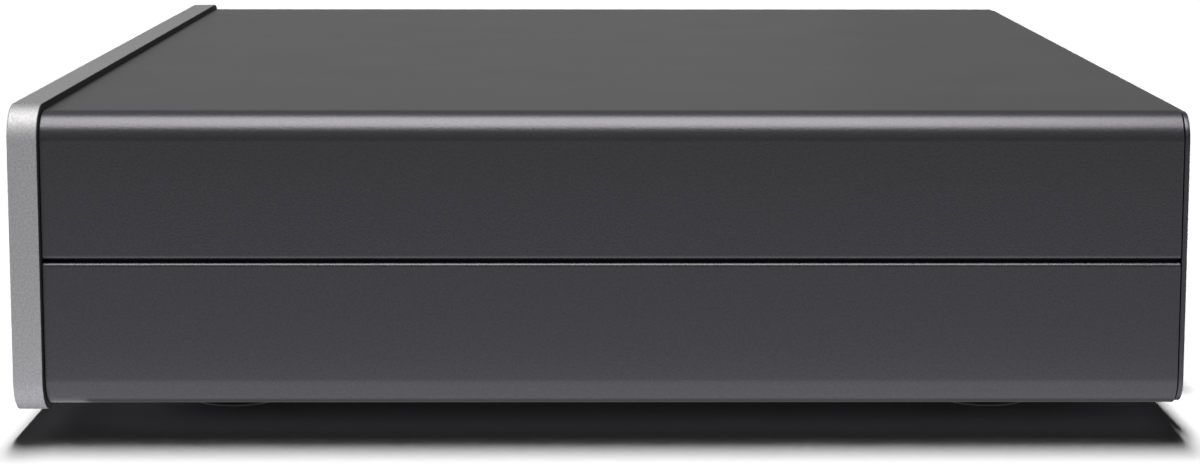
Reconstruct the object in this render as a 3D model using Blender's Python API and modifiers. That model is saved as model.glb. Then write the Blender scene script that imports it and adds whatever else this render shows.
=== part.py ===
"""A compact network audio player.

Two identical extruded half shells hook into each other along a seam at mid
height. A black subframe closes their front mouth and carries the thick metal
faceplate, and a thin rear panel carries the sockets. Both are screwed into
channels that are part of the extrusions. One wide circuit board slides into
rails of the lower shell.

Metres, +Z up. The front faces -Y, and the origin is on the surface that the
feet stand on, under the middle of the player.
"""

import math

import bmesh
import bpy
from mathutils import Matrix, Vector

MM = 0.001
WELD = 0.002 * MM          # vertices closer than this are one
FIT = 0.3 * MM             # gap between pieces that seat on or in each other
OVERLAP = 1.0 * MM         # how far joined shapes and cutters reach past a face
WIDE_STEPS = 16            # sides of a round shape, by its radius
MEDIUM_STEPS = 12
NARROW_STEPS = 10
CORNER_FINE = 8            # steps of a quarter turn
CORNER_PLAIN = 3
CORNER_COARSE = 2
CORNER_BROKEN = 1
NARROW_RADIUS = 2.8 * MM   # round shapes below this get the fewest sides
MEDIUM_RADIUS = 5.6 * MM

# Case
CASE_WIDTH = 213 * MM
GRID_COLUMNS = 213         # columns of the layout across the case
COLUMN = CASE_WIDTH / GRID_COLUMNS
CASE_HEIGHT = 46.2 * MM
CASE_CORNER = 4.5 * MM     # outer radius along the four long edges
SHELL_LENGTH = 176.1 * MM
WALL = 2.0 * MM
SEAM_GAP = 0.66 * MM       # open line between the shells
SEAM_LIP = 0.4 * MM        # chamfer on both sides of the seam
TONGUE_LENGTH = 4.0 * MM   # how far a tongue reaches past the seam
TONGUE_THICK = 1.3 * MM
TONGUE_ROOT = 2.4 * MM     # straight part of the tongue inside its own shell
CHANNEL_INSET = 5.0 * MM   # screw channel axis from the outside of the case
CHANNEL_WALL = 1.9 * MM
CHANNEL_SLOT = 1.4 * MM    # opening along the channel
SLOT_TURN = -45            # degrees; the opening faces the middle of the case
RAIL_REACH = 3.0 * MM
RAIL_THICK = 1.2 * MM
MOUTH_WALL = 1.6 * MM      # wall left around the milled front mouth

# Feet
FOOT_HEIGHT = 4.8 * MM     # floor to the underside of the case
FOOT_RADIUS = 8.0 * MM
FOOT_EDGE = 1.0 * MM
FOOT_DISH_RADIUS = 3.0 * MM
FOOT_DISH_DEPTH = 0.6 * MM
FOOT_STEM_RADIUS = 2.7 * MM
FOOT_BARB = 1.0 * MM       # how far the barb is wider than the stem
FOOT_BARB_HEIGHT = 1.5 * MM
FOOT_SIDE_INSET = 30 * MM  # foot axis from the side of the case
FOOT_END_INSET = 26 * MM   # foot axis from the end of the shells

# Faceplate and what it hides
FACE_PROUD = 1.0 * MM      # faceplate past the case all round
FACE_THICK = 4.6 * MM
FACE_EDGE = 0.3 * MM
FACE_GAP = 0.3 * MM        # shadow gap between faceplate and shells
TAPE_THICK = 0.5 * MM
TAPE_SEAT = 0.2 * MM
TAPE_INSET = 1.0 * MM
SUBFRAME_THICK = 3.6 * MM
POST_LENGTH = 3.8 * MM
POST_RADIUS = 3.0 * MM
POST_BORE = 1.3 * MM
POST_BORE_DEPTH = 5.0 * MM
POST_XS = (-64 * COLUMN, 61 * COLUMN)

# Buttons, window and lights
BUTTON_RECESS = 0.15 * MM  # cap below the faceplate's front
BUTTON_TRAVEL = 0.5 * MM
CAP_CLEARANCE = 0.25 * MM
CAP_EDGE = 0.25 * MM
FLANGE_RIM = 1.3 * MM
FLANGE_THICK = 1.2 * MM
STEM_RADIUS = 1.5 * MM
STANDBY_X = -88 * COLUMN
STANDBY_RADIUS = 4.75 * MM
PRESET_COUNT = 4
PRESET_FIRST_X = 34 * COLUMN
PRESET_PITCH = 18 * COLUMN
PRESET_LENGTH = 11 * MM
PRESET_HEIGHT = 5.6 * MM
LIGHT_RISE = 10.0 * MM     # lights above the row of buttons
LIGHT_RADIUS = 1.0 * MM
LIGHT_BAR_HEIGHT = 4.4 * MM
WINDOW_X = -46 * COLUMN
WINDOW_LENGTH = 17 * MM
WINDOW_HEIGHT = 6.4 * MM
WINDOW_SIGHT_RIM = 1.2 * MM  # window ledge that rests on the subframe

# Front board
BOARD_THICK = 1.6 * MM
FRONT_BOARD_INSET = 9.5 * MM  # side of the case to the board's end
FRONT_BOARD_HEIGHT = 25 * MM
BOARD_CORNER = 1.5 * MM
SWITCH_SIZE = 6.2 * MM
SWITCH_HEIGHT = 3.3 * MM
SWITCH_BORE_DEPTH = 1.6 * MM
SWITCH_ENTRY = 0.4 * MM    # stem tip inside the switch at rest
LAMP_SIZE = 2.4 * MM
LAMP_HEIGHT = 1.4 * MM
RECEIVER_SIZE = (7.0 * MM, 3.4 * MM, 4.0 * MM)
RECEIVER_LENS_RADIUS = 1.7 * MM

# Screws
SCREW_CORE = 1.1 * MM
SCREW_HEAD = 2.7 * MM
SCREW_LENGTH = 8.0 * MM
SCREW_TIP = 0.8 * MM
SCREW_BORE = 1.4 * MM
SCREW_SINK = 0.05 * MM     # countersunk head below the surface
SCREW_DRIVE = 1.1 * MM
SCREW_DRIVE_DEPTH = 1.0 * MM
BOARD_SCREW_HEAD = 2.3 * MM
BOARD_SCREW_HEAD_HEIGHT = 1.6 * MM
BOARD_SCREW_CORE = 1.0 * MM
BOARD_SCREW_GRIP = 3.2 * MM  # thread inside the post

# Main board and what stands on it
RAIL_FLOOR = 11.2 * MM     # underside of the case to the slot for the board
MAIN_BOARD_FRONT = 14.6 * MM  # subframe to the front edge of the board
MAIN_BOARD_REAR_GAP = 0.8 * MM
RAIL_SIDE_GAP = 0.6 * MM
HEADER_SIZE = (22 * MM, 4.0 * MM, 4.0 * MM)
HEADER_Y = -66 * MM
RIBBON_WIDTH = 20 * MM
RIBBON_THICK = 0.5 * MM
RIBBON_BEND = 4.4 * MM
PLUG_BLOCK_DEPTH = 3.6 * MM
PLUG_BLOCK_HEIGHT = 3.4 * MM
TRANSFORMER_X = 78 * COLUMN
TRANSFORMER_Y = 18 * MM
CORE_SIZE = (30 * MM, 12 * MM, 21 * MM)
WINDING_RADIUS = 9.5 * MM
WINDING_HEIGHT = 15 * MM
CAPACITOR_X = 90 * COLUMN
CAPACITOR_Y = 56 * MM
CAPACITOR_RADIUS = 8.0 * MM
CAPACITOR_HEIGHT = 21 * MM
CAPACITOR_RIM = 0.9 * MM
CAPACITOR_GROOVE = 0.6 * MM
CAPACITOR_GROOVE_LIFT = 3.2 * MM
CAPACITOR_GROOVE_HALF = 0.8 * MM
CHOKE_X = 67 * COLUMN
CHOKE_Y = 55 * MM
CHOKE_RADIUS = 6.5 * MM
CHOKE_WIRE = 3.2 * MM
CARD_X = 29 * COLUMN
CARD_Y = 34 * MM
CARD_SIZE = (46 * MM, 36 * MM)
CARD_LIFT = 6.4 * MM       # main board to the network card
CARD_HEADER = (38 * MM, 5.0 * MM)
SHIELD_SIZE = (28 * MM, 20 * MM, 3.2 * MM)
SHIELD_WALL = 0.5 * MM
# Converter, clock, processor and regulators, as centre and size
MAIN_CHIPS = (
    ((-42 * COLUMN, 30 * MM), (9 * MM, 9 * MM, 1.2 * MM)),
    ((-28 * COLUMN, 30 * MM), (7 * MM, 5 * MM, 1.6 * MM)),
    ((-6 * COLUMN, -10 * MM), (14 * MM, 14 * MM, 1.4 * MM)),
    ((24 * COLUMN, -30 * MM), (10 * MM, 8 * MM, 1.2 * MM)),
    ((60 * COLUMN, -22 * MM), (12 * MM, 6 * MM, 4.4 * MM)),
    ((-70 * COLUMN, 20 * MM), (14 * MM, 7 * MM, 9.5 * MM)),
)
OUTPUT_CAPACITOR_XS = (-34 * COLUMN, -44 * COLUMN, -54 * COLUMN, -64 * COLUMN)
OUTPUT_CAPACITOR_Y = 52 * MM
OUTPUT_CAPACITOR_RADIUS = 3.2 * MM
OUTPUT_CAPACITOR_HEIGHT = 11 * MM
LEAD_RADIUS = 0.9 * MM
LEAD_RISE = 3.6 * MM       # top of a lead above its socket
LEAD_BEND = 7.2 * MM
LEAD_STEPS = 3             # points between two turns of a lead
COAX_STUD_RADIUS = 1.3 * MM
COAX_STUD_HEIGHT = 1.4 * MM
COAX_STUD_INSET = 5.0 * MM

# Rear panel and sockets
PANEL_THICK = 0.8 * MM
PANEL_GAP = 0.2 * MM
PANEL_INSET = 0.3 * MM     # panel edge inside the outline of the case
SOCKET_REACH = 9.0 * MM    # longest socket past the rear panel
INLET_X = 84 * COLUMN
INLET_WIDTH = 21 * MM
INLET_HEIGHT = 14.4 * MM
INLET_LIFT = 2.3 * MM      # neck above the bottom of the body
INLET_DEPTH = 14 * MM
INLET_FLANGE = (28 * MM, 1.2 * MM, 19 * MM)
INLET_FLANGE_CORNER = 2.0 * MM
INLET_LOBE = 4.0 * MM
INLET_PITCH = 8.6 * MM
INLET_WAIST = 5.6 * MM
INLET_RECESS = 11.5 * MM
INLET_PIN_RADIUS = 1.2 * MM
INLET_PIN_BELOW = 1.6 * MM
NETWORK_X = 28 * COLUMN
NETWORK_SIZE = (16 * MM, 16 * MM, 13.5 * MM)
NETWORK_PROUD = 1.0 * MM
NETWORK_MOUTH = (11.8 * MM, 6.8 * MM)
NETWORK_LATCH = (6.2 * MM, 1.7 * MM)
NETWORK_LATCH_TIP = (3.4 * MM, 1.2 * MM)
NETWORK_MOUTH_FLOOR = 1.5 * MM
NETWORK_MOUTH_DEPTH = 12 * MM
USB_X = 47 * COLUMN
USB_SIZE = (13.2 * MM, 14 * MM, 6.8 * MM)
USB_MOUTH = (12.0 * MM, 4.9 * MM)
USB_MOUTH_DEPTH = 9.5 * MM
USB_TONGUE = (10.6 * MM, 8.2 * MM, 1.8 * MM)
USB_TONGUE_LIFT = 0.6 * MM
OPTICAL_X = 6 * COLUMN
OPTICAL_SIZE = (12 * MM, 15 * MM, 12.8 * MM)
OPTICAL_PROUD = 0.8 * MM
OPTICAL_BEZEL = 0.9 * MM
OPTICAL_WALL = 1.2 * MM
OPTICAL_CAVITY_WIDTH = 9.4 * MM
OPTICAL_CAVITY_DEPTH = 12.6 * MM
OPTICAL_MOUTH = (8.2 * MM, 7.8 * MM)
OPTICAL_MOUTH_FLOOR = 2.0 * MM
OPTICAL_MOUTH_CHAMFER = 1.6 * MM
FLAP_THICK = 1.0 * MM
FLAP_PIVOT_DROP = 1.2 * MM  # hinge axis below the ceiling of the cavity
FLAP_TRUNNION_RADIUS = 0.59 * MM
FLAP_TRUNNION_REACH = 0.6 * MM
FLAP_SOCKET_REACH = 0.8 * MM
PHONO_XS = (-14 * COLUMN, -36 * COLUMN, -54 * COLUMN)
PHONO_LIFT = 9.7 * MM      # phono axis above the bottom of its block
PHONO_BLOCK_SIDE = 7.0 * MM
PHONO_BLOCK_DEPTH = 11.4 * MM
PHONO_BLOCK_HEIGHT = 16.4 * MM
PHONO_NOSE_RADIUS = 5.5 * MM
PHONO_NOSE_PROUD = 0.8 * MM
PHONO_BARREL_RADIUS = 4.15 * MM
PHONO_BARREL_BORE = 3.35 * MM
PHONO_FLANGE_RADIUS = 5.3 * MM
PHONO_FLANGE_THICK = 1.0 * MM
PHONO_INSULATOR_BELOW = 0.8 * MM
PHONO_PIN_BORE = 1.7 * MM
PHONO_PIN_DEPTH = 6.0 * MM
ANTENNA_XS = (60 * COLUMN, -90 * COLUMN)
ANTENNA_LIFT = 18.4 * MM   # antenna axis above the main board
ANTENNA_REACH = 8.0 * MM
ANTENNA_THREAD = 3.1 * MM
ANTENNA_BORE = 2.3 * MM
ANTENNA_BORE_DEPTH = 5.0 * MM
ANTENNA_PIN = 0.65 * MM
ANTENNA_COLLAR_RADIUS = 4.2 * MM
ANTENNA_COLLAR_THICK = 2.2 * MM
ANTENNA_FERRULE_RADIUS = 1.6 * MM
ANTENNA_FERRULE_LENGTH = 5.0 * MM
NUT_FLATS = 8.0 * MM
NUT_THICK = 2.2 * MM
HEX_SIDES = 6

# Places along the depth, front to rear
DEPTH = FACE_THICK + FACE_GAP + SHELL_LENGTH + PANEL_GAP + PANEL_THICK + SOCKET_REACH
FACE_FRONT = -DEPTH / 2
FACE_BACK = FACE_FRONT + FACE_THICK
TAPE_FRONT = FACE_BACK + TAPE_SEAT
TAPE_BACK = TAPE_FRONT + TAPE_THICK
SUBFRAME_FRONT = TAPE_BACK + TAPE_SEAT
SUBFRAME_BACK = SUBFRAME_FRONT + SUBFRAME_THICK
SHELL_FRONT = FACE_BACK + FACE_GAP
SHELL_REAR = SHELL_FRONT + SHELL_LENGTH
MOUTH_STEP = SUBFRAME_BACK + FIT
FLANGE_FRONT = FACE_BACK + FIT
FLANGE_BACK = FLANGE_FRONT + FLANGE_THICK
BUTTON_FLOOR = FLANGE_BACK + BUTTON_TRAVEL + FIT
INLAY_FLOOR = FLANGE_BACK + FIT
CAP_FRONT = FACE_FRONT + BUTTON_RECESS
FRONT_BOARD_FRONT = SUBFRAME_BACK + POST_LENGTH + FIT
FRONT_BOARD_BACK = FRONT_BOARD_FRONT + BOARD_THICK
SWITCH_BACK = FRONT_BOARD_FRONT - FIT
SWITCH_FRONT = SWITCH_BACK - SWITCH_HEIGHT
STEM_END = SWITCH_FRONT + SWITCH_ENTRY
LAMP_FRONT = FRONT_BOARD_FRONT - LAMP_HEIGHT
LIGHT_END = LAMP_FRONT - FIT
PANEL_FRONT = SHELL_REAR + PANEL_GAP
PANEL_BACK = PANEL_FRONT + PANEL_THICK
SOCKET_TIP = PANEL_BACK + SOCKET_REACH

# Heights
CASE_TOP = FOOT_HEIGHT + CASE_HEIGHT
SEAM_Z = FOOT_HEIGHT + CASE_HEIGHT / 2
LIGHT_Z = SEAM_Z + LIGHT_RISE
RAIL_SLOT = BOARD_THICK + 2 * FIT
MAIN_BOARD_BOTTOM = FOOT_HEIGHT + RAIL_FLOOR
MAIN_BOARD_TOP = MAIN_BOARD_BOTTOM + BOARD_THICK
SEAT_Z = MAIN_BOARD_TOP + FIT
CARD_BOTTOM = MAIN_BOARD_TOP + CARD_LIFT
CARD_TOP = CARD_BOTTOM + BOARD_THICK
CHANNEL_X = CASE_WIDTH / 2 - CHANNEL_INSET
CHANNEL_ZS = (FOOT_HEIGHT + CHANNEL_INSET, CASE_TOP - CHANNEL_INSET)
PRESET_XS = [PRESET_FIRST_X + PRESET_PITCH * i for i in range(PRESET_COUNT)]
BUTTON_XS = [STANDBY_X] + PRESET_XS
BUTTON_KINDS = ["standby"] + list(range(PRESET_COUNT))

# Local X and Y of an outline, and the way it is extruded, in the player's frame
PLANES = {
    "front": Matrix(((1, 0, 0), (0, 0, -1), (0, 1, 0))),
    "top": Matrix(((1, 0, 0), (0, 1, 0), (0, 0, 1))),
    "side": Matrix(((0, 0, 1), (1, 0, 0), (0, 1, 0))),
}
NORMALS = {"front": Vector((0, 1, 0)), "top": Vector((0, 0, 1)), "side": Vector((1, 0, 0))}

# Turn of a lathe axis from +Z
AXES = {
    "up": Matrix.Identity(3),
    "front": Matrix.Rotation(math.radians(90), 3, "X"),
    "rear": Matrix.Rotation(math.radians(-90), 3, "X"),
}

FINISHES = {
    "silver_aluminium": ((0.42, 0.42, 0.44, 1), 0.42, 1.0),
    "grey_aluminium": ((0.075, 0.075, 0.083, 1), 0.45, 1.0),
    "black_plastic": ((0.012, 0.012, 0.013, 1), 0.5, 0.0),
    "black_rubber": ((0.01, 0.01, 0.01, 1), 0.8, 0.0),
    "dark_lens": ((0.02, 0.004, 0.006, 1), 0.08, 0.0),
    "clear_plastic": ((0.8, 0.82, 0.85, 1), 0.1, 0.0),
    "steel": ((0.5, 0.5, 0.5, 1), 0.3, 1.0),
    "gold_plate": ((0.75, 0.5, 0.18, 1), 0.25, 1.0),
    "circuit_board": ((0.01, 0.05, 0.03, 1), 0.4, 0.0),
    "white_plastic": ((0.7, 0.7, 0.68, 1), 0.4, 0.0),
    "red_plastic": ((0.4, 0.02, 0.02, 1), 0.4, 0.0),
    "ribbon_white": ((0.6, 0.6, 0.62, 1), 0.5, 0.0),
    "ferrite": ((0.03, 0.03, 0.032, 1), 0.6, 0.0),
    "copper": ((0.6, 0.22, 0.1, 1), 0.35, 1.0),
}


def clear_scene():
    for item in list(bpy.data.objects):
        bpy.data.objects.remove(item, do_unlink=True)


def new_collection(name):
    group = bpy.data.collections.new(name)
    bpy.context.scene.collection.children.link(group)
    return group


def finish(name):
    """The material of that name, made when it is first asked for."""
    material = bpy.data.materials.get(name)
    if material:
        return material
    colour, roughness, metallic = FINISHES[name]
    material = bpy.data.materials.new(name)
    material.use_nodes = True
    shader = material.node_tree.nodes["Principled BSDF"]
    shader.inputs["Base Color"].default_value = colour
    shader.inputs["Roughness"].default_value = roughness
    shader.inputs["Metallic"].default_value = metallic
    material.diffuse_color = colour
    return material


def place(item, group):
    for old in list(item.users_collection):
        old.objects.unlink(item)
    group.objects.link(item)
    return item


def dress(item, material, angle=35):
    """Give a piece its material and shade its round faces smooth."""
    item.data.materials.clear()
    item.data.materials.append(finish(material))
    item.data.shade_smooth()
    item.data.set_sharp_from_angle(angle=math.radians(angle))
    return place(item, player)


def as_mesh(shape):
    """Swap a curve, or an object with modifiers, for its finished closed mesh."""
    bpy.context.view_layer.update()
    graph = bpy.context.evaluated_depsgraph_get()
    mesh = bpy.data.meshes.new_from_object(shape.evaluated_get(graph))
    work = bmesh.new()
    work.from_mesh(mesh)
    bmesh.ops.remove_doubles(work, verts=work.verts, dist=WELD)
    bmesh.ops.recalc_face_normals(work, faces=work.faces)
    work.to_mesh(mesh)
    work.free()
    name = shape.name
    matrix = shape.matrix_world.copy()
    group = shape.users_collection[0]
    bpy.data.objects.remove(shape, do_unlink=True)
    solid = bpy.data.objects.new(name, mesh)
    solid.matrix_world = matrix
    group.objects.link(solid)
    return solid


def cut(target, cutter):
    """Take a cutter's shape out of a piece."""
    return combine(target, cutter, "DIFFERENCE")


def join(target, addition):
    """Make a shape part of a piece."""
    return combine(target, addition, "UNION")


def combine(target, other, operation):
    step = target.modifiers.new(other.name, "BOOLEAN")
    step.operation = operation
    step.solver = "EXACT"
    step.object = other
    other.hide_render = True
    other.display_type = "WIRE"
    place(other, cutters)
    return target


def arc(cx, cy, radius, start, end, steps):
    """Points along a circular arc, from start to end degrees."""
    angles = [math.radians(start + (end - start) * i / steps) for i in range(steps + 1)]
    return [(cx + radius * math.cos(a), cy + radius * math.sin(a)) for a in angles]


def sides(radius):
    """How many sides a round shape of that radius gets."""
    if radius < NARROW_RADIUS:
        return NARROW_STEPS
    if radius < MEDIUM_RADIUS:
        return MEDIUM_STEPS
    return WIDE_STEPS


def circle(radius, cx=0.0, cy=0.0):
    return arc(cx, cy, radius, 0, 360, sides(radius))[:-1]


def rounded(width, height, radius, cx=0.0, cy=0.0, steps=CORNER_PLAIN):
    """A rectangle with round corners."""
    dx = width / 2 - radius
    dy = height / 2 - radius
    corners = ((dx, dy, 0), (-dx, dy, 90), (-dx, -dy, 180), (dx, -dy, 270))
    points = []
    for x, y, start in corners:
        points += arc(cx + x, cy + y, radius, start, start + 90, steps)
    return points


def pill(length, height, cx=0.0, cy=0.0):
    """A slot with round ends."""
    radius = height / 2
    dx = length / 2 - radius
    right = arc(cx + dx, cy, radius, -90, 90, 2 * CORNER_PLAIN)
    return right + arc(cx - dx, cy, radius, 90, 270, 2 * CORNER_PLAIN)


def outline_solid(name, loops, plane, low, high, edge=0.0, origin=(0, 0, 0)):
    """Extrude closed outlines from low to high; a loop inside another is a hole."""
    curve = bpy.data.curves.new(name, "CURVE")
    curve.dimensions = "2D"
    curve.fill_mode = "BOTH"
    curve.extrude = (high - low) / 2 - edge
    curve.bevel_depth = edge
    curve.bevel_resolution = 0
    curve.offset = -edge
    for loop in loops:
        spline = curve.splines.new("POLY")
        spline.points.add(len(loop) - 1)
        for point, (x, y) in zip(spline.points, loop):
            point.co = (x, y, 0, 1)
        spline.use_cyclic_u = True
    outline = bpy.data.objects.new(name, curve)
    middle = Vector(origin) + NORMALS[plane] * (low + high) / 2
    outline.matrix_world = Matrix.Translation(middle) @ PLANES[plane].to_4x4()
    player.objects.link(outline)
    return as_mesh(outline)


def pierced(name, outline, holes, plane, low, high):
    """Plate of one outline with holes cut right through it."""
    plate = outline_solid(name, [outline], plane, low, high)
    return cut(plate, outline_solid("holes", holes, plane, low - OVERLAP, high + OVERLAP))


def box(name, low, high, edge=0.0):
    """A block between two corners, with its edges broken by a bevel."""
    size = Vector(high) - Vector(low)
    mesh = bpy.data.meshes.new(name)
    work = bmesh.new()
    bmesh.ops.create_cube(work, size=1.0)
    bmesh.ops.scale(work, vec=size, verts=work.verts)
    work.to_mesh(mesh)
    work.free()
    block = bpy.data.objects.new(name, mesh)
    block.location = (Vector(low) + Vector(high)) / 2
    player.objects.link(block)
    if edge:
        bevel = block.modifiers.new("Edge", "BEVEL")
        bevel.width = edge
        bevel.segments = 1
        bevel.limit_method = "ANGLE"
    return block


def centred_box(name, centre, size, edge=0.0):
    low = [c - s / 2 for c, s in zip(centre, size)]
    high = [c + s / 2 for c, s in zip(centre, size)]
    return box(name, low, high, edge)


def turned(name, profile, origin, axis="up", steps=None):
    """Turn a profile of (radius, height) points, top to bottom, about an axis."""
    steps = steps or sides(max(radius for radius, height in profile))
    mesh = bpy.data.meshes.new(name)
    points = [(radius, 0, height) for radius, height in profile]
    edges = [(i, i + 1) for i in range(len(points) - 1)]
    if profile[0][0] > 0:
        edges.append((len(points) - 1, 0))
    mesh.from_pydata(points, edges, [])
    piece = bpy.data.objects.new(name, mesh)
    piece.matrix_world = Matrix.Translation(Vector(origin)) @ AXES[axis].to_4x4()
    turn = piece.modifiers.new("Turn", "SCREW")
    turn.steps = steps
    turn.render_steps = steps
    turn.use_merge_vertices = True
    turn.merge_threshold = WELD
    player.objects.link(piece)
    return piece


def rod(name, radius, start, length, axis="rear"):
    """A plain cylinder from a point along an axis."""
    profile = [(0, length), (radius, length), (radius, 0), (0, 0)]
    return turned(name, profile, start, axis)


def copy_of(master, name, origin):
    """Another object on the master's mesh."""
    twin = bpy.data.objects.new(name, master.data)
    twin.matrix_world = Matrix.Translation(Vector(origin)) @ master.matrix_world.to_3x3().to_4x4()
    player.objects.link(twin)
    return twin


def smooth_route(points, steps):
    """Catmull-Rom points through a route."""
    path = [Vector(p) for p in points]
    ends = [2 * path[0] - path[1]] + path + [2 * path[-1] - path[-2]]
    route = []
    for a, b, c, d in zip(ends, ends[1:], ends[2:], ends[3:]):
        for i in range(steps):
            t = i / steps
            route.append(0.5 * (2 * b + (c - a) * t + (2 * a - 5 * b + 4 * c - d) * t ** 2
                                + (3 * b - a - 3 * c + d) * t ** 3))
    route.append(path[-1])
    return route


# Shells

def corner_channel(cx, cy, wall_left, wall_top):
    """Inside outline of the top left corner: the screw channel, open towards the middle.

    It runs from the side wall round the channel to the top wall.
    """
    outer = SCREW_BORE + CHANNEL_WALL
    from_side = 180 + math.degrees(math.acos((cx - wall_left) / outer))
    to_top = 360 + math.degrees(math.asin((wall_top - cy) / outer))
    slot_outer = math.degrees(math.asin(CHANNEL_SLOT / 2 / outer))
    slot_inner = math.degrees(math.asin(CHANNEL_SLOT / 2 / SCREW_BORE))
    opening = 360 + SLOT_TURN
    points = arc(cx, cy, outer, from_side, opening - slot_outer, CORNER_PLAIN)
    points += arc(cx, cy, SCREW_BORE, opening - slot_inner, SLOT_TURN + slot_inner, NARROW_STEPS)
    points += arc(cx, cy, outer, opening + slot_outer, to_top, CORNER_PLAIN)
    return points


def rail_points(wall_x, inwards, slot_low):
    """Two ribs with the slot for the board between them, going up one wall."""
    tip = wall_x + inwards * RAIL_REACH
    slot_high = slot_low + RAIL_SLOT
    return [(wall_x, slot_low - RAIL_THICK), (tip, slot_low - RAIL_THICK),
            (tip, slot_low), (wall_x, slot_low),
            (wall_x, slot_high), (tip, slot_high),
            (tip, slot_high + RAIL_THICK), (wall_x, slot_high + RAIL_THICK)]


def shell_outline():
    """Section of the upper shell about the middle of the seam, tongue on the left."""
    side = CASE_WIDTH / 2
    top = CASE_HEIGHT / 2
    lip = SEAM_GAP / 2
    inner = side - WALL
    ceiling = top - WALL
    tongue_out = side - WALL - FIT
    tongue_in = tongue_out - TONGUE_THICK
    root = lip + TONGUE_ROOT
    slot_low = top - RAIL_FLOOR - BOARD_THICK - FIT
    entry = FIT

    outside = [(side - SEAM_LIP, lip), (side, lip + SEAM_LIP)]
    outside += arc(side - CASE_CORNER, top - CASE_CORNER, CASE_CORNER, 0, 90, CORNER_FINE)
    outside += arc(CASE_CORNER - side, top - CASE_CORNER, CASE_CORNER, 90, 180, CORNER_FINE)
    outside += [(-side, lip + SEAM_LIP), (SEAM_LIP - side, lip)]
    tongue = [(-tongue_out, lip), (-tongue_out, entry - TONGUE_LENGTH),
              (entry - tongue_out, -TONGUE_LENGTH), (-tongue_in, -TONGUE_LENGTH),
              (-tongue_in, root), (-inner, root + tongue_out - tongue_in + FIT)]
    left = rail_points(-inner, 1, slot_low)
    channel = corner_channel(CHANNEL_INSET - side, top - CHANNEL_INSET, -inner, ceiling)
    inside = left + channel
    mirrored = [(-x, y) for x, y in reversed(inside)]
    return outside + tongue + inside + mirrored + [(inner, lip)]


def countersink(x, z, surface, axis):
    """Cone that seats a countersunk head, its wide end at a surface."""
    wide = SCREW_HEAD + FIT
    narrow = SCREW_BORE - FIT
    profile = [(0, OVERLAP), (wide + OVERLAP, OVERLAP), (narrow, narrow - wide), (0, narrow - wide)]
    return turned("countersink", profile, (x, surface, z), axis)


def channel_places():
    return [(x, z) for z in CHANNEL_ZS for x in (-CHANNEL_X, CHANNEL_X)]


def foot_places():
    x = CASE_WIDTH / 2 - FOOT_SIDE_INSET
    front = SHELL_FRONT + FOOT_END_INSET
    rear = SHELL_REAR - FOOT_END_INSET
    return [(-x, front), (x, front), (-x, rear), (x, rear)]


def mouth_cutter():
    """What is milled out of the front end of both shells to seat the subframe."""
    outline = rounded(CASE_WIDTH - 2 * MOUTH_WALL, CASE_HEIGHT - 2 * MOUTH_WALL,
                      CASE_CORNER - MOUTH_WALL, 0, SEAM_Z)
    return outline_solid("mouth", [outline], "front", SHELL_FRONT - OVERLAP, MOUTH_STEP)


def make_shells():
    """Two copies of one extrusion; the lower is the upper turned half round."""
    upper = outline_solid("upper_shell", [shell_outline()], "front", SHELL_FRONT, SHELL_REAR,
                          origin=(0, 0, SEAM_Z))
    lower = bpy.data.objects.new("lower_shell", upper.data.copy())
    half_turn = Matrix.Rotation(math.pi, 4, "Y")
    middle = Matrix.Translation(upper.matrix_world.translation)
    lower.matrix_world = middle @ half_turn @ upper.matrix_world.to_3x3().to_4x4()
    player.objects.link(lower)
    for shell in (upper, lower):
        cut(shell, mouth_cutter())
    for x, z in channel_places():
        shell = upper if z > SEAM_Z else lower
        cut(shell, countersink(x, z, PANEL_BACK, "rear"))
    for x, y in foot_places():
        hole = rod("foot_hole", FOOT_STEM_RADIUS + FIT, (x, y, FOOT_HEIGHT - OVERLAP),
                   WALL + 2 * OVERLAP, "up")
        cut(lower, hole)
    dress(upper, "grey_aluminium")
    dress(lower, "grey_aluminium")


def make_feet():
    """Rubber feet, pushed through the lower shell and held by a barb."""
    under_case = FOOT_HEIGHT - FIT
    over_wall = FOOT_HEIGHT + WALL + FIT
    barb = FOOT_STEM_RADIUS + FOOT_BARB
    tip = over_wall + FOOT_BARB_HEIGHT
    profile = [(0, tip), (FOOT_STEM_RADIUS - FIT, tip),
               (barb, over_wall + FIT), (barb, over_wall), (FOOT_STEM_RADIUS, over_wall),
               (FOOT_STEM_RADIUS, under_case), (FOOT_RADIUS, under_case)]
    profile += arc(FOOT_RADIUS - FOOT_EDGE, FOOT_EDGE, FOOT_EDGE, 0, -90, CORNER_COARSE)
    profile += [(FOOT_DISH_RADIUS, 0), (FOOT_DISH_RADIUS - FOOT_DISH_DEPTH, FOOT_DISH_DEPTH),
                (0, FOOT_DISH_DEPTH)]
    for i, (x, y) in enumerate(foot_places(), 1):
        dress(turned(f"foot_{i}", profile, (x, y, 0), "up"), "black_rubber")


# Front

def grown(kind, rim):
    """A cap's, window's or light bar's outline made larger all round by a rim."""
    if kind == "standby":
        return circle(STANDBY_RADIUS + rim, STANDBY_X, SEAM_Z)
    if kind == "window":
        return pill(WINDOW_LENGTH + 2 * rim, WINDOW_HEIGHT + 2 * rim, WINDOW_X, SEAM_Z)
    if kind == "standby_light":
        return circle(LIGHT_BAR_HEIGHT / 2 + rim, STANDBY_X, LIGHT_Z)
    if kind == "light_bar":
        middle = (PRESET_XS[0] + PRESET_XS[-1]) / 2
        length = PRESET_XS[-1] - PRESET_XS[0] + LIGHT_BAR_HEIGHT
        return pill(length + 2 * rim, LIGHT_BAR_HEIGHT + 2 * rim, middle, LIGHT_Z)
    return pill(PRESET_LENGTH + 2 * rim, PRESET_HEIGHT + 2 * rim, PRESET_XS[kind], SEAM_Z)


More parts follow.
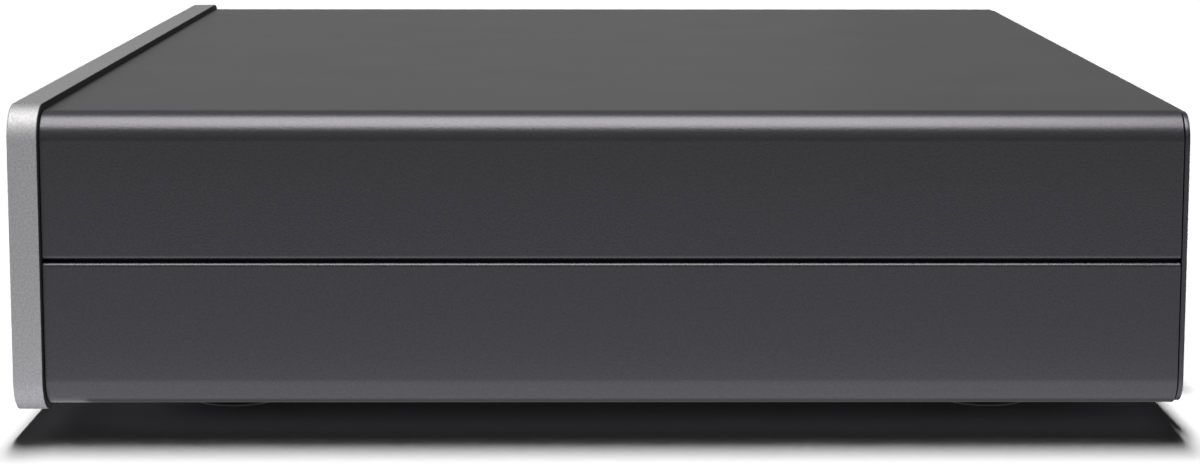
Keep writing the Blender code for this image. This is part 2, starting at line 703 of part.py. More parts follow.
def make_faceplate():
    width = CASE_WIDTH + 2 * FACE_PROUD
    height = CASE_HEIGHT + 2 * FACE_PROUD
    loops = [rounded(width, height, CASE_CORNER + FACE_PROUD, 0, SEAM_Z,
                     CORNER_FINE)]
    loops += [grown(kind, CAP_CLEARANCE) for kind in BUTTON_KINDS + ["window"]]
    loops += [circle(LIGHT_RADIUS + FIT, x, LIGHT_Z) for x in BUTTON_XS]
    plate = outline_solid("faceplate", loops, "front", FACE_FRONT, FACE_BACK, FACE_EDGE)
    dress(plate, "silver_aluminium")


def make_tape():
    """Adhesive sheet that holds the faceplate on the subframe."""
    inset = MOUTH_WALL + FIT + TAPE_INSET
    loops = [rounded(CASE_WIDTH - 2 * inset, CASE_HEIGHT - 2 * inset, CASE_CORNER - MOUTH_WALL,
                     0, SEAM_Z)]
    loops += [grown(kind, FLANGE_RIM + 2 * FIT) for kind in BUTTON_KINDS + ["window"]]
    loops += [grown(kind, 2 * FIT) for kind in ("standby_light", "light_bar")]
    dress(outline_solid("faceplate_tape", loops, "front", TAPE_FRONT, TAPE_BACK), "black_rubber")


def make_subframe():
    inset = MOUTH_WALL + FIT
    outline = rounded(CASE_WIDTH - 2 * inset, CASE_HEIGHT - 2 * inset, CASE_CORNER - inset, 0, SEAM_Z)
    holes = [circle(STEM_RADIUS + FIT, x, SEAM_Z) for x in BUTTON_XS]
    holes += [grown("window", -WINDOW_SIGHT_RIM)]
    holes += [circle(LIGHT_RADIUS + FIT, x, LIGHT_Z) for x in BUTTON_XS]
    holes += [circle(SCREW_BORE, x, z) for x, z in channel_places()]
    frame = pierced("front_subframe", outline, holes, "front", SUBFRAME_FRONT, SUBFRAME_BACK)
    rooms = [grown(kind, FLANGE_RIM + FIT) for kind in BUTTON_KINDS]
    cut(frame, outline_solid("button_rooms", rooms, "front", SUBFRAME_FRONT - OVERLAP, BUTTON_FLOOR))
    inlays = [grown("window", FLANGE_RIM + FIT), grown("standby_light", FIT), grown("light_bar", FIT)]
    cut(frame, outline_solid("inlay_rooms", inlays, "front", SUBFRAME_FRONT - OVERLAP, INLAY_FLOOR))
    for x, z in channel_places():
        cut(frame, countersink(x, z, SUBFRAME_FRONT, "front"))
    for x in POST_XS:
        root = SUBFRAME_BACK - OVERLAP
        join(frame, rod("post", POST_RADIUS, (x, root, SEAM_Z), POST_LENGTH + OVERLAP))
        end = SUBFRAME_BACK + POST_LENGTH
        cut(frame, rod("post_bore", POST_BORE, (x, end - POST_BORE_DEPTH, SEAM_Z),
                       POST_BORE_DEPTH + OVERLAP, "rear"))
    dress(frame, "black_plastic")


def button_mesh(name, cap, flange, x):
    """Cap, retaining flange and stem in one, about the button's own axis."""
    front = FACE_FRONT
    axis = (x, front, SEAM_Z)
    body = outline_solid(name, [cap], "front", CAP_FRONT - front, FLANGE_BACK - FIT - front,
                         CAP_EDGE, origin=axis)
    join(body, outline_solid("flange", [flange], "front", FLANGE_FRONT - front,
                             FLANGE_BACK - front, origin=axis))
    root = FLANGE_BACK - FLANGE_THICK / 2
    join(body, rod("stem", STEM_RADIUS, (x, root, SEAM_Z), STEM_END - root, "rear"))
    return as_mesh(body)


def centre_on_axis(item, x):
    """Move an object's origin to the button's axis at the front of the faceplate."""
    shift = item.matrix_world.inverted() @ Vector((x, FACE_FRONT, SEAM_Z))
    item.data.transform(Matrix.Translation(-shift))
    item.location = (x, FACE_FRONT, SEAM_Z)
    return item


def make_buttons():
    standby = button_mesh("standby_button", circle(STANDBY_RADIUS),
                          circle(STANDBY_RADIUS + FLANGE_RIM), STANDBY_X)
    dress(centre_on_axis(standby, STANDBY_X), "silver_aluminium")
    flange = pill(PRESET_LENGTH + 2 * FLANGE_RIM, PRESET_HEIGHT + 2 * FLANGE_RIM)
    first = button_mesh("preset_button_1", pill(PRESET_LENGTH, PRESET_HEIGHT), flange, PRESET_XS[0])
    dress(centre_on_axis(first, PRESET_XS[0]), "silver_aluminium")
    for i, x in enumerate(PRESET_XS[1:], 2):
        dress(copy_of(first, f"preset_button_{i}", (x, FACE_FRONT, SEAM_Z)), "silver_aluminium")


def make_window():
    """Dark window with a ledge behind the faceplate; it lets infrared light through."""
    pane = outline_solid("infrared_window", [grown("window", 0)], "front", CAP_FRONT,
                         FLANGE_BACK - FIT, CAP_EDGE)
    join(pane, outline_solid("ledge", [grown("window", FLANGE_RIM)], "front", FLANGE_FRONT,
                             FLANGE_BACK))
    dress(pane, "dark_lens")


def make_light_guides():
    """Clear guides: one alone, and one bar that carries a guide for each preset."""
    guides = {"standby_light_guide": ("standby_light", [STANDBY_X]),
              "preset_light_guide": ("light_bar", PRESET_XS)}
    for name, (kind, xs) in guides.items():
        bar = outline_solid(name, [grown(kind, 0)], "front", FLANGE_FRONT, FLANGE_BACK)
        for x in xs:
            join(bar, rod("guide", LIGHT_RADIUS, (x, CAP_FRONT, LIGHT_Z), LIGHT_END - CAP_FRONT,
                          "rear"))
        dress(bar, "clear_plastic")


def make_front_board():
    width = CASE_WIDTH - 2 * FRONT_BOARD_INSET
    outline = rounded(width, FRONT_BOARD_HEIGHT, BOARD_CORNER, 0, SEAM_Z, CORNER_COARSE)
    holes = [circle(BOARD_SCREW_CORE + FIT, x, SEAM_Z) for x in POST_XS]
    board = pierced("front_board", outline, holes, "front", FRONT_BOARD_FRONT, FRONT_BOARD_BACK)
    for x in BUTTON_XS:
        low = (x - LAMP_SIZE / 2, LAMP_FRONT, LIGHT_Z - LAMP_SIZE / 2)
        high = (x + LAMP_SIZE / 2, FRONT_BOARD_FRONT + BOARD_THICK / 2, LIGHT_Z + LAMP_SIZE / 2)
        join(board, box("lamp", low, high))
    half = HEADER_SIZE[0] / 2
    low = (-half, FRONT_BOARD_BACK - BOARD_THICK / 2, ribbon_top() - PLUG_BLOCK_HEIGHT / 2)
    high = (half, FRONT_BOARD_BACK + PLUG_BLOCK_DEPTH, ribbon_top() + PLUG_BLOCK_HEIGHT / 2)
    join(board, box("ribbon_socket", low, high))
    dress(board, "circuit_board")


def make_switches():
    """Push switches behind the buttons; each stem ends in its switch's bore."""
    names = ["standby_switch"] + [f"preset_switch_{i + 1}" for i in range(PRESET_COUNT)]
    half = SWITCH_SIZE / 2
    for name, x in zip(names, BUTTON_XS):
        body = box(name, (x - half, SWITCH_FRONT, SEAM_Z - half), (x + half, SWITCH_BACK, SEAM_Z + half))
        bore = rod("switch_bore", STEM_RADIUS + FIT, (x, SWITCH_FRONT - OVERLAP, SEAM_Z),
                   SWITCH_BORE_DEPTH + OVERLAP, "rear")
        dress(cut(body, bore), "black_plastic")


def make_receiver():
    """Infrared receiver on the front board, its lens in the window's opening."""
    width, depth, height = RECEIVER_SIZE
    front = SWITCH_BACK - depth
    body = box("infrared_receiver", (WINDOW_X - width / 2, front, SEAM_Z - height / 2),
               (WINDOW_X + width / 2, SWITCH_BACK, SEAM_Z + height / 2))
    radius = RECEIVER_LENS_RADIUS
    dome = arc(0, 0, radius, 90, 0, CORNER_PLAIN)
    dome[0] = (0, radius)
    dome += [(radius, -depth / 2), (0, -depth / 2)]
    join(body, turned("lens", dome, (WINDOW_X, front, SEAM_Z), "front"))
    dress(body, "dark_lens")


def countersunk_screw():
    """Screw with its head's flat at the origin and its tip along local -Z."""
    head = SCREW_HEAD
    cone = head - SCREW_CORE
    profile = [(0, 0), (head, 0), (SCREW_CORE, -cone), (SCREW_CORE, SCREW_TIP - SCREW_LENGTH),
               (SCREW_CORE / 2, -SCREW_LENGTH), (0, -SCREW_LENGTH)]
    screw = turned("screw", profile, (0, 0, 0), "up")
    drive = [(0, OVERLAP), (SCREW_DRIVE, OVERLAP), (SCREW_DRIVE, -SCREW_DRIVE_DEPTH),
             (0, -SCREW_DRIVE_DEPTH)]
    cut(screw, turned("drive", drive, (0, 0, 0), "up", HEX_SIDES))
    return as_mesh(screw)


def make_screws():
    master = countersunk_screw()
    rows = {"front_screw": (SUBFRAME_FRONT + SCREW_SINK, "front"),
            "rear_screw": (PANEL_BACK - SCREW_SINK, "rear")}
    for name, (y, axis) in rows.items():
        for i, (x, z) in enumerate(channel_places(), 1):
            screw = bpy.data.objects.new(f"{name}_{i}", master.data)
            screw.matrix_world = Matrix.Translation((x, y, z)) @ AXES[axis].to_4x4()
            player.objects.link(screw)
            dress(screw, "steel")
    bpy.data.objects.remove(master)


def make_board_screws():
    seat = FRONT_BOARD_BACK + FIT
    head = BOARD_SCREW_HEAD_HEIGHT
    shank = -(FIT + BOARD_THICK + FIT + BOARD_SCREW_GRIP)
    profile = [(0, head), (BOARD_SCREW_HEAD - FIT, head), (BOARD_SCREW_HEAD, head - FIT),
               (BOARD_SCREW_HEAD, 0), (BOARD_SCREW_CORE, 0), (BOARD_SCREW_CORE, shank), (0, shank)]
    for i, x in enumerate(POST_XS, 1):
        dress(turned(f"board_screw_{i}", profile, (x, seat, SEAM_Z), "rear"), "steel")


# Main board

def ribbon_top():
    return MAIN_BOARD_TOP + HEADER_SIZE[2] + FIT + RIBBON_BEND


def make_ribbon():
    """Flat cable from the front board's socket down to the main board's header."""
    start = FRONT_BOARD_BACK + PLUG_BLOCK_DEPTH + FIT
    bottom = MAIN_BOARD_TOP + HEADER_SIZE[2] + FIT
    centre = HEADER_Y - RIBBON_BEND
    outer = RIBBON_BEND + RIBBON_THICK / 2
    inner = RIBBON_BEND - RIBBON_THICK / 2
    middle = ribbon_top() - RIBBON_BEND
    outline = [(start, middle + outer)] + arc(centre, middle, outer, 90, 0, CORNER_FINE)
    outline += [(HEADER_Y + RIBBON_THICK / 2, bottom), (HEADER_Y - RIBBON_THICK / 2, bottom)]
    outline += arc(centre, middle, inner, 0, 90, CORNER_FINE) + [(start, middle + inner)]
    half = RIBBON_WIDTH / 2
    dress(outline_solid("ribbon_cable", [unique(outline)], "side", -half, half), "ribbon_white")


def unique(points):
    """The points without neighbours that lie on each other."""
    kept = []
    for point in points:
        if not kept or math.dist(point, kept[-1]) > WELD:
            kept.append(point)
    if math.dist(kept[0], kept[-1]) <= WELD:
        kept.pop()
    return kept


def chip(board, centre, size):
    """A component soldered on the main board, made part of it."""
    x, y = centre
    low = (x - size[0] / 2, y - size[1] / 2, MAIN_BOARD_TOP - BOARD_THICK / 2)
    high = (x + size[0] / 2, y + size[1] / 2, MAIN_BOARD_TOP + size[2])
    join(board, box("chip", low, high))


def make_main_board():
    half = CASE_WIDTH / 2 - WALL - RAIL_SIDE_GAP
    front = SUBFRAME_BACK + MAIN_BOARD_FRONT
    rear = PANEL_FRONT - MAIN_BOARD_REAR_GAP
    outline = rounded(2 * half, rear - front, BOARD_CORNER, 0, (front + rear) / 2,
                      CORNER_COARSE)
    board = outline_solid("main_board", [outline], "top", MAIN_BOARD_BOTTOM, MAIN_BOARD_TOP)
    chip(board, (0, HEADER_Y), HEADER_SIZE)
    chip(board, (CARD_X, CARD_Y), CARD_HEADER + (CARD_LIFT - FIT,))
    for centre, size in MAIN_CHIPS:
        chip(board, centre, size)
    for x in OUTPUT_CAPACITOR_XS:
        join(board, rod("output_capacitor", OUTPUT_CAPACITOR_RADIUS,
                        (x, OUTPUT_CAPACITOR_Y, MAIN_BOARD_TOP - BOARD_THICK / 2),
                        OUTPUT_CAPACITOR_HEIGHT + BOARD_THICK / 2, "up"))
    dress(board, "circuit_board")


def make_power_parts():
    """Transformer, bulk capacitor and filter choke, standing on the main board."""
    middle = (TRANSFORMER_X, TRANSFORMER_Y, SEAT_Z + CORE_SIZE[2] / 2)
    core = centred_box("transformer", middle, CORE_SIZE, CAP_EDGE)
    winding = rod("winding", WINDING_RADIUS,
                  (TRANSFORMER_X, TRANSFORMER_Y, middle[2] - WINDING_HEIGHT / 2), WINDING_HEIGHT, "up")
    dress(join(core, winding), "ferrite")

    radius = CAPACITOR_RADIUS
    top = CAPACITOR_HEIGHT
    groove = CAPACITOR_GROOVE_LIFT
    half = CAPACITOR_GROOVE_HALF
    can = [(0, top - FIT), (radius - CAPACITOR_RIM, top - FIT), (radius - CAPACITOR_RIM + FIT, top),
           (radius, top - FIT), (radius, groove + half), (radius - CAPACITOR_GROOVE, groove),
           (radius, groove - half), (radius, 0), (0, 0)]
    dress(turned("bulk_capacitor", can, (CAPACITOR_X, CAPACITOR_Y, SEAT_Z), "up"), "black_plastic")

    section = arc(CHOKE_RADIUS, CHOKE_WIRE, CHOKE_WIRE, 90, -270, CORNER_FINE)[:-1]
    dress(turned("filter_choke", section, (CHOKE_X, CHOKE_Y, SEAT_Z), "up"), "copper")


def stud_places():
    """Two aerial connectors near the rear corners of the network card."""
    x = CARD_SIZE[0] / 2 - COAX_STUD_INSET
    y = CARD_Y + CARD_SIZE[1] / 2 - COAX_STUD_INSET
    return [(CARD_X + x, y), (CARD_X - x, y)]


def make_network_card():
    outline = rounded(*CARD_SIZE, BOARD_CORNER, CARD_X, CARD_Y, CORNER_COARSE)
    card = outline_solid("network_card", [outline], "top", CARD_BOTTOM, CARD_TOP)
    for x, y in stud_places():
        join(card, rod("stud", COAX_STUD_RADIUS, (x, y, CARD_TOP - BOARD_THICK / 2),
                       COAX_STUD_HEIGHT + BOARD_THICK / 2, "up"))
    dress(card, "circuit_board")
    width, depth, height = SHIELD_SIZE
    middle = Vector((CARD_X, CARD_Y - COAX_STUD_INSET, CARD_TOP + FIT + height / 2))
    can = centred_box("network_shield", middle, SHIELD_SIZE, FIT)
    room = (width - 2 * SHIELD_WALL, depth - 2 * SHIELD_WALL, height)
    dress(cut(can, centred_box("shield_room", middle - Vector((0, 0, SHIELD_WALL)), room)), "steel")


def make_antenna_leads():
    """Coax leads from the antenna sockets to the network card."""
    start_y = PANEL_FRONT - FIT - ANTENNA_COLLAR_THICK - ANTENNA_FERRULE_LENGTH - FIT
    start_z = MAIN_BOARD_TOP + ANTENNA_LIFT
    end_z = CARD_TOP + COAX_STUD_HEIGHT + FIT
    for i, (socket_x, (x, y)) in enumerate(zip(ANTENNA_XS, stud_places()), 1):
        high = start_z + LEAD_RISE
        route = [(socket_x, start_y, start_z), (socket_x, start_y - LEAD_BEND, start_z),
                 ((3 * socket_x + x) / 4, y + LEAD_BEND, high),
                 ((socket_x + 3 * x) / 4, y + LEAD_BEND / 2, high),
                 (x, y, start_z), (x, y, end_z + LEAD_RADIUS), (x, y, end_z)]
        curve = bpy.data.curves.new(f"antenna_lead_{i}", "CURVE")
        curve.dimensions = "3D"
        curve.bevel_depth = LEAD_RADIUS
        curve.bevel_resolution = 1
        curve.use_fill_caps = True
        points = smooth_route(route, LEAD_STEPS)
        spline = curve.splines.new("POLY")
        spline.points.add(len(points) - 1)
        for point, spot in zip(spline.points, points):
            point.co = (*spot, 1)
        lead = bpy.data.objects.new(curve.name, curve)
        player.objects.link(lead)
        dress(as_mesh(lead), "black_plastic")


# Rear

def inlet_bottom():
    return SEAT_Z + INLET_LIFT


def make_rear_panel():
    """Panel with an opening for each socket and countersunk corner holes."""
    width = CASE_WIDTH - 2 * PANEL_INSET
    height = CASE_HEIGHT - 2 * PANEL_INSET
    outline = rounded(width, height, CASE_CORNER - PANEL_INSET, 0, SEAM_Z)
    holes = [circle(SCREW_BORE, x, z) for x, z in channel_places()]
    holes.append(rectangle(INLET_X, inlet_bottom(), INLET_WIDTH, INLET_HEIGHT))
    holes.append(rectangle(NETWORK_X, SEAT_Z, NETWORK_SIZE[0], NETWORK_SIZE[2]))
    holes.append(rectangle(USB_X, SEAT_Z, USB_SIZE[0], USB_SIZE[2]))
    holes.append(rectangle(OPTICAL_X, SEAT_Z, OPTICAL_SIZE[0], OPTICAL_SIZE[2]))
    holes += [circle(PHONO_NOSE_RADIUS + FIT, x, phono_z()) for x in PHONO_XS]
    holes += [circle(ANTENNA_THREAD + FIT, x, antenna_z()) for x in ANTENNA_XS]
    panel = pierced("rear_panel", outline, holes, "front", PANEL_FRONT, PANEL_BACK)
    for x, z in channel_places():
        cut(panel, countersink(x, z, PANEL_BACK, "rear"))
    dress(panel, "grey_aluminium")


def rectangle(x, bottom, width, height):
    """Opening that clears a socket standing at a height."""
    return rounded(width + 2 * FIT, height + 2 * FIT, FIT, x, bottom + height / 2,
                   CORNER_BROKEN)


def phono_z():
    return SEAT_Z + PHONO_LIFT


def antenna_z():
    return MAIN_BOARD_TOP + ANTENNA_LIFT


def standing_box(name, x, width, height, y_low, y_high, edge=0.0, bottom=SEAT_Z):
    return box(name, (x - width / 2, y_low, bottom), (x + width / 2, y_high, bottom + height), edge)


def make_mains_inlet():
    """Two-pole mains inlet: body, neck through the panel and flange behind it."""
    mouth = PANEL_BACK + FIT + INLET_FLANGE[1]
    middle = inlet_bottom() + INLET_HEIGHT / 2
    inner = PANEL_FRONT - INLET_DEPTH
    body = standing_box("mains_inlet", INLET_X, INLET_WIDTH, INLET_HEIGHT, inner,
                        mouth - INLET_FLANGE[1] / 2, bottom=inlet_bottom())
    join(body, standing_box("inlet_foot", INLET_X, INLET_WIDTH, 2 * INLET_LIFT, inner,
                            PANEL_FRONT - FIT))
    flange = rounded(INLET_FLANGE[0], INLET_FLANGE[2], INLET_FLANGE_CORNER, INLET_X, middle)
    join(body, outline_solid("inlet_flange", [flange], "front", mouth - INLET_FLANGE[1], mouth))

    shift = INLET_PITCH / 2
    waist = math.degrees(math.asin(INLET_WAIST / 2 / INLET_LOBE))
    eight = arc(INLET_X + shift, middle, INLET_LOBE, waist - 180, 180 - waist, NARROW_STEPS)
    eight += arc(INLET_X - shift, middle, INLET_LOBE, waist, 360 - waist, NARROW_STEPS)
    floor = mouth - INLET_RECESS
    cut(body, outline_solid("inlet_recess", [eight], "front", floor, mouth + OVERLAP))
    for x in (INLET_X - shift, INLET_X + shift):
        tip = mouth - INLET_PIN_BELOW
        join(body, rod("inlet_pin", INLET_PIN_RADIUS, (x, floor - OVERLAP, middle),
                       tip - floor + OVERLAP, "rear"))
    dress(body, "black_plastic")


def make_network_socket():
    """Modular socket with a stepped mouth, latch notch at the bottom."""
    width, depth, height = NETWORK_SIZE
    mouth = PANEL_BACK + NETWORK_PROUD
    body = standing_box("ethernet_socket", NETWORK_X, width, height, mouth - depth, mouth)
    floor = mouth - NETWORK_MOUTH_DEPTH
    bottom = SEAT_Z + NETWORK_MOUTH_FLOOR
    for wide, high in (NETWORK_LATCH_TIP, NETWORK_LATCH, NETWORK_MOUTH):
        room = standing_box("network_mouth", NETWORK_X, wide, high + FIT, floor, mouth + OVERLAP,
                            bottom=bottom)
        cut(body, room)
        bottom += high
    dress(body, "steel")


def make_usb_socket():
    width, depth, height = USB_SIZE
    mouth = PANEL_BACK + NETWORK_PROUD
    body = standing_box("usb_socket", USB_X, width, height, mouth - depth, mouth)
    middle = SEAT_Z + height / 2
    room = rounded(*USB_MOUTH, FIT, USB_X, middle, CORNER_BROKEN)
    floor = mouth - USB_MOUTH_DEPTH
    cut(body, outline_solid("usb_mouth", [room], "front", floor, mouth + OVERLAP))
    blade, reach, thick = USB_TONGUE
    bottom = middle + USB_MOUTH[1] / 2 - USB_TONGUE_LIFT - thick
    join(body, standing_box("usb_tongue", USB_X, blade, thick, floor - OVERLAP, floor + reach,
                            bottom=bottom))
    dress(body, "steel")


def flap_pivot():
    """Hinge axis of the optical socket's flap, as (y, z)."""
    y = PANEL_BACK + OPTICAL_PROUD - OPTICAL_BEZEL - FIT - FLAP_THICK / 2
    z = SEAT_Z + OPTICAL_SIZE[2] - OPTICAL_WALL - FLAP_PIVOT_DROP
    return y, z


def make_optical_socket():
    """Optical socket: a cavity behind a bezel, with sockets for the flap's trunnions."""
    width, depth, height = OPTICAL_SIZE
    mouth = PANEL_BACK + OPTICAL_PROUD
    body = standing_box("optical_socket", OPTICAL_X, width, height, mouth - depth, mouth)
    back = mouth - OPTICAL_BEZEL
    cavity = standing_box("optical_cavity", OPTICAL_X, OPTICAL_CAVITY_WIDTH,
                          height - 2 * OPTICAL_WALL, back - OPTICAL_CAVITY_DEPTH, back,
                          bottom=SEAT_Z + OPTICAL_WALL)
    cut(body, cavity)
    half = OPTICAL_MOUTH[0] / 2
    floor = SEAT_Z + OPTICAL_MOUTH_FLOOR
    ceiling = floor + OPTICAL_MOUTH[1]
    notch = OPTICAL_MOUTH_CHAMFER
    outline = [(half, floor), (half, ceiling - notch), (half - notch, ceiling),
               (notch - half, ceiling), (-half, ceiling - notch), (-half, floor)]
    outline = [(OPTICAL_X + x, z) for x, z in outline]
    cut(body, outline_solid("optical_mouth", [outline], "front", back - OVERLAP, mouth + OVERLAP))
    reach = OPTICAL_CAVITY_WIDTH / 2 + FLAP_SOCKET_REACH
    y, z = flap_pivot()
    bearing = [(y + a, z + b) for a, b in circle(FLAP_TRUNNION_RADIUS + FIT)]
    cut(body, outline_solid("flap_bearing", [bearing], "side", OPTICAL_X - reach, OPTICAL_X + reach))
    dress(body, "black_plastic")


def make_optical_flap():
    """Sprung flap that closes the optical socket, with its origin on its hinge axis."""
    y, z = flap_pivot()
    half = OPTICAL_CAVITY_WIDTH / 2 - FIT
    bottom = SEAT_Z + OPTICAL_WALL + FIT - z
    radius = FLAP_THICK / 2
    section = arc(0, 0, radius, 0, 180, 2 * CORNER_PLAIN) + [(-radius, bottom), (radius, bottom)]
    flap = outline_solid("optical_flap", [section], "side", -half, half, origin=(OPTICAL_X, y, z))
    reach = half + FLAP_TRUNNION_REACH
    pin = circle(FLAP_TRUNNION_RADIUS)
    join(flap, outline_solid("trunnion", [pin], "side", -reach, reach, origin=(OPTICAL_X, y, z)))
    dress(flap, "black_plastic")


def make_phono_sockets():
    """One moulded block with a nose for each phono socket, barrels and insulators."""
    z = phono_z()
    left = min(PHONO_XS) - PHONO_BLOCK_SIDE
    right = max(PHONO_XS) + PHONO_BLOCK_SIDE
    front = PANEL_FRONT - FIT
    block = standing_box("phono_block", (left + right) / 2, right - left, PHONO_BLOCK_HEIGHT,
                         front - PHONO_BLOCK_DEPTH, front)
    nose = PANEL_BACK + PHONO_NOSE_PROUD
    for x in PHONO_XS:
        join(block, rod("nose", PHONO_NOSE_RADIUS, (x, front - OVERLAP, z), nose - front + OVERLAP,
                        "rear"))
    dress(block, "black_plastic")

    seat = nose + FIT
    reach = SOCKET_TIP - seat
    barrel = [(PHONO_BARREL_RADIUS - FIT, reach), (PHONO_BARREL_RADIUS, reach - FIT),
              (PHONO_BARREL_RADIUS, PHONO_FLANGE_THICK), (PHONO_FLANGE_RADIUS, PHONO_FLANGE_THICK),
              (PHONO_FLANGE_RADIUS, 0), (PHONO_BARREL_BORE, 0), (PHONO_BARREL_BORE, reach)]
    names = ("digital", "line_right", "line_left")
    colours = ("black_plastic", "red_plastic", "white_plastic")
    for x, name, colour in zip(PHONO_XS, names, colours):
        dress(turned(f"{name}_barrel", barrel, (x, seat, z), "rear"), "gold_plate")
        dress(insulator(f"{name}_insulator", (x, seat, z), reach - PHONO_INSULATOR_BELOW), colour)


def insulator(name, origin, length):
    """Plastic core of a phono socket, with the bore that takes the plug's pin."""
    core = rod(name, PHONO_BARREL_BORE - FIT, origin, length, "rear")
    x, y, z = origin
    bore = rod("pin_bore", PHONO_PIN_BORE, (x, y + length - PHONO_PIN_DEPTH, z),
               PHONO_PIN_DEPTH + OVERLAP, "rear")
    return cut(core, bore)


def make_antenna_sockets():
    """Threaded coax sockets, each held in the panel by a nut."""
    reach = ANTENNA_REACH + PANEL_THICK + FIT
    collar = ANTENNA_COLLAR_THICK
    tail = collar + ANTENNA_FERRULE_LENGTH
    floor = reach - ANTENNA_BORE_DEPTH
    profile = [(0, reach - FIT), (ANTENNA_PIN, reach - FIT), (ANTENNA_PIN, floor), (ANTENNA_BORE, floor),
               (ANTENNA_BORE, reach), (ANTENNA_THREAD, reach), (ANTENNA_THREAD, 0),
               (ANTENNA_COLLAR_RADIUS, 0), (ANTENNA_COLLAR_RADIUS, -collar),
               (ANTENNA_FERRULE_RADIUS, -collar), (ANTENNA_FERRULE_RADIUS, -tail), (0, -tail)]
    corner = NUT_FLATS / 2 / math.cos(math.radians(30))
    for i, x in enumerate(ANTENNA_XS, 1):
        seat = PANEL_FRONT - FIT
        dress(turned(f"antenna_socket_{i}", profile, (x, seat, antenna_z()), "rear"), "gold_plate")
        hexagon = arc(x, antenna_z(), corner, 0, 360, HEX_SIDES)[:-1]
        loops = [hexagon, circle(ANTENNA_THREAD + FIT, x, antenna_z())]
        low = PANEL_BACK + FIT
        dress(outline_solid(f"antenna_nut_{i}", loops, "front", low, low + NUT_THICK), "gold_plate")


clear_scene()
player = new_collection("network_audio_player")
cutters = new_collection("cutters")
make_shells()
make_feet()
make_faceplate()
make_tape()
make_subframe()
make_buttons()
make_window()
make_light_guides()
make_front_board()
make_switches()
make_receiver()
make_screws()
make_board_screws()
make_ribbon()
make_main_board()
make_power_parts()
make_network_card()
make_antenna_leads()
make_rear_panel()
make_mains_inlet()
make_network_socket()
make_usb_socket()
make_optical_socket()
make_optical_flap()
make_phono_sockets()
make_antenna_sockets()
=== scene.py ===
from math import acos, asin, cos, degrees, pi, radians, sin, tan

import bmesh
import bpy
from mathutils import Matrix, Vector


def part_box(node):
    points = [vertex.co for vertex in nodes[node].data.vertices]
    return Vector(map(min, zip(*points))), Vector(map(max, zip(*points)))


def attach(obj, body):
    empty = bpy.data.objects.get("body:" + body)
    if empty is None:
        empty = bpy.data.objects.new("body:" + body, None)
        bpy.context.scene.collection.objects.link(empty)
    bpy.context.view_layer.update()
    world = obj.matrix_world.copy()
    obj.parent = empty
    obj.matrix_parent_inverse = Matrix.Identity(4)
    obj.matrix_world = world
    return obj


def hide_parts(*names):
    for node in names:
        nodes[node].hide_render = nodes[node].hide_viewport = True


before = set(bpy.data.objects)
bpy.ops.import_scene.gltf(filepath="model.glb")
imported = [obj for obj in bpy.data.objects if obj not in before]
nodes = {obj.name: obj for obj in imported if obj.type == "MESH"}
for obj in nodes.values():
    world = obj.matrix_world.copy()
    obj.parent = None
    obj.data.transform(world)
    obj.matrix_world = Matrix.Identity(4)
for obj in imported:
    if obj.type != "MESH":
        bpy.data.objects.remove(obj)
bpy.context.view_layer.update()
mm = 0.001
fit = 0.3 * mm          # clearance between neighbouring pieces
print("frame loaded:", len(nodes), "nodes")


# Small tools for colours, nodes and meshes

def toLinear(hexColour):
    channels = [int(hexColour[i:i + 2], 16) / 255 for i in (1, 3, 5)]
    linear = [c / 12.92 if c <= 0.04045 else ((c + 0.055) / 1.055) ** 2.4 for c in channels]
    return (*linear, 1.0)


def addNode(tree, kind, inputs=None, **settings):
    node = tree.nodes.new("ShaderNode" + kind)
    for name, value in settings.items():
        setattr(node, name, value)
    for name, value in (inputs or {}).items():
        socket = node.inputs[name]
        if isinstance(value, bpy.types.NodeSocket):
            tree.links.new(value, socket)
        else:
            socket.default_value = value
    return node


def newMaterial(name, **sockets):
    material = bpy.data.materials.new(name)
    material.use_nodes = True
    shader = material.node_tree.nodes["Principled BSDF"]
    for socket, value in sockets.items():
        shader.inputs[socket.replace("_", " ")].default_value = value
    return material, material.node_tree, shader


def arcPoints(cx, cy, radius, start, end, steps):
    angles = [radians(start + (end - start) * i / steps) for i in range(steps + 1)]
    return [(cx + radius * cos(a), cy + radius * sin(a)) for a in angles]


def circleShape(radius, cx=0.0, cy=0.0, steps=64):
    return arcPoints(cx, cy, radius, 0, 360, steps)[:-1]


def roundedShape(width, height, radius, cx=0.0, cy=0.0, steps=14):
    dx, dy = width / 2 - radius, height / 2 - radius
    points = []
    for x, y, start in ((dx, dy, 0), (-dx, dy, 90), (-dx, -dy, 180), (dx, -dy, 270)):
        points += arcPoints(cx + x, cy + y, radius, start, start + 90, steps)
    return points


def pillShape(length, height, cx=0.0, cy=0.0):
    # a hair less than half round, so that no two points fall together
    return roundedShape(length, height, height / 2 * 0.9999, cx, cy)


def soften(points, radius, steps=3, closed=True):
    # rounds the corners of an outline; ends of an open one and nearly straight corners stay
    straight, share = radians(160), 0.45
    soft = []
    count = len(points)
    for i, point in enumerate(points):
        here = Vector(point)
        before = Vector(points[i - 1]) - here
        after = Vector(points[(i + 1) % count]) - here
        if (not closed and i in (0, count - 1)) or before.angle(after) > straight:
            soft.append(tuple(here))
            continue
        reach = radius / tan(before.angle(after) / 2)
        reach = min(reach, before.length * share, after.length * share)
        a = here + before.normalized() * reach
        b = here + after.normalized() * reach
        for step in range(steps + 1):
            t = step / steps
            soft.append(tuple(a * (1 - t) ** 2 + here * 2 * t * (1 - t) + b * t ** 2))
    return soft


facing = {"front": Matrix(((1, 0, 0), (0, 0, -1), (0, 1, 0))),
          "side": Matrix(((0, 0, 1), (1, 0, 0), (0, 1, 0)))}
outOf = {"front": Vector((0, 1, 0)), "side": Vector((1, 0, 0))}
turns = {"up": Matrix.Identity(3), "rear": Matrix.Rotation(radians(-90), 3, "X")}


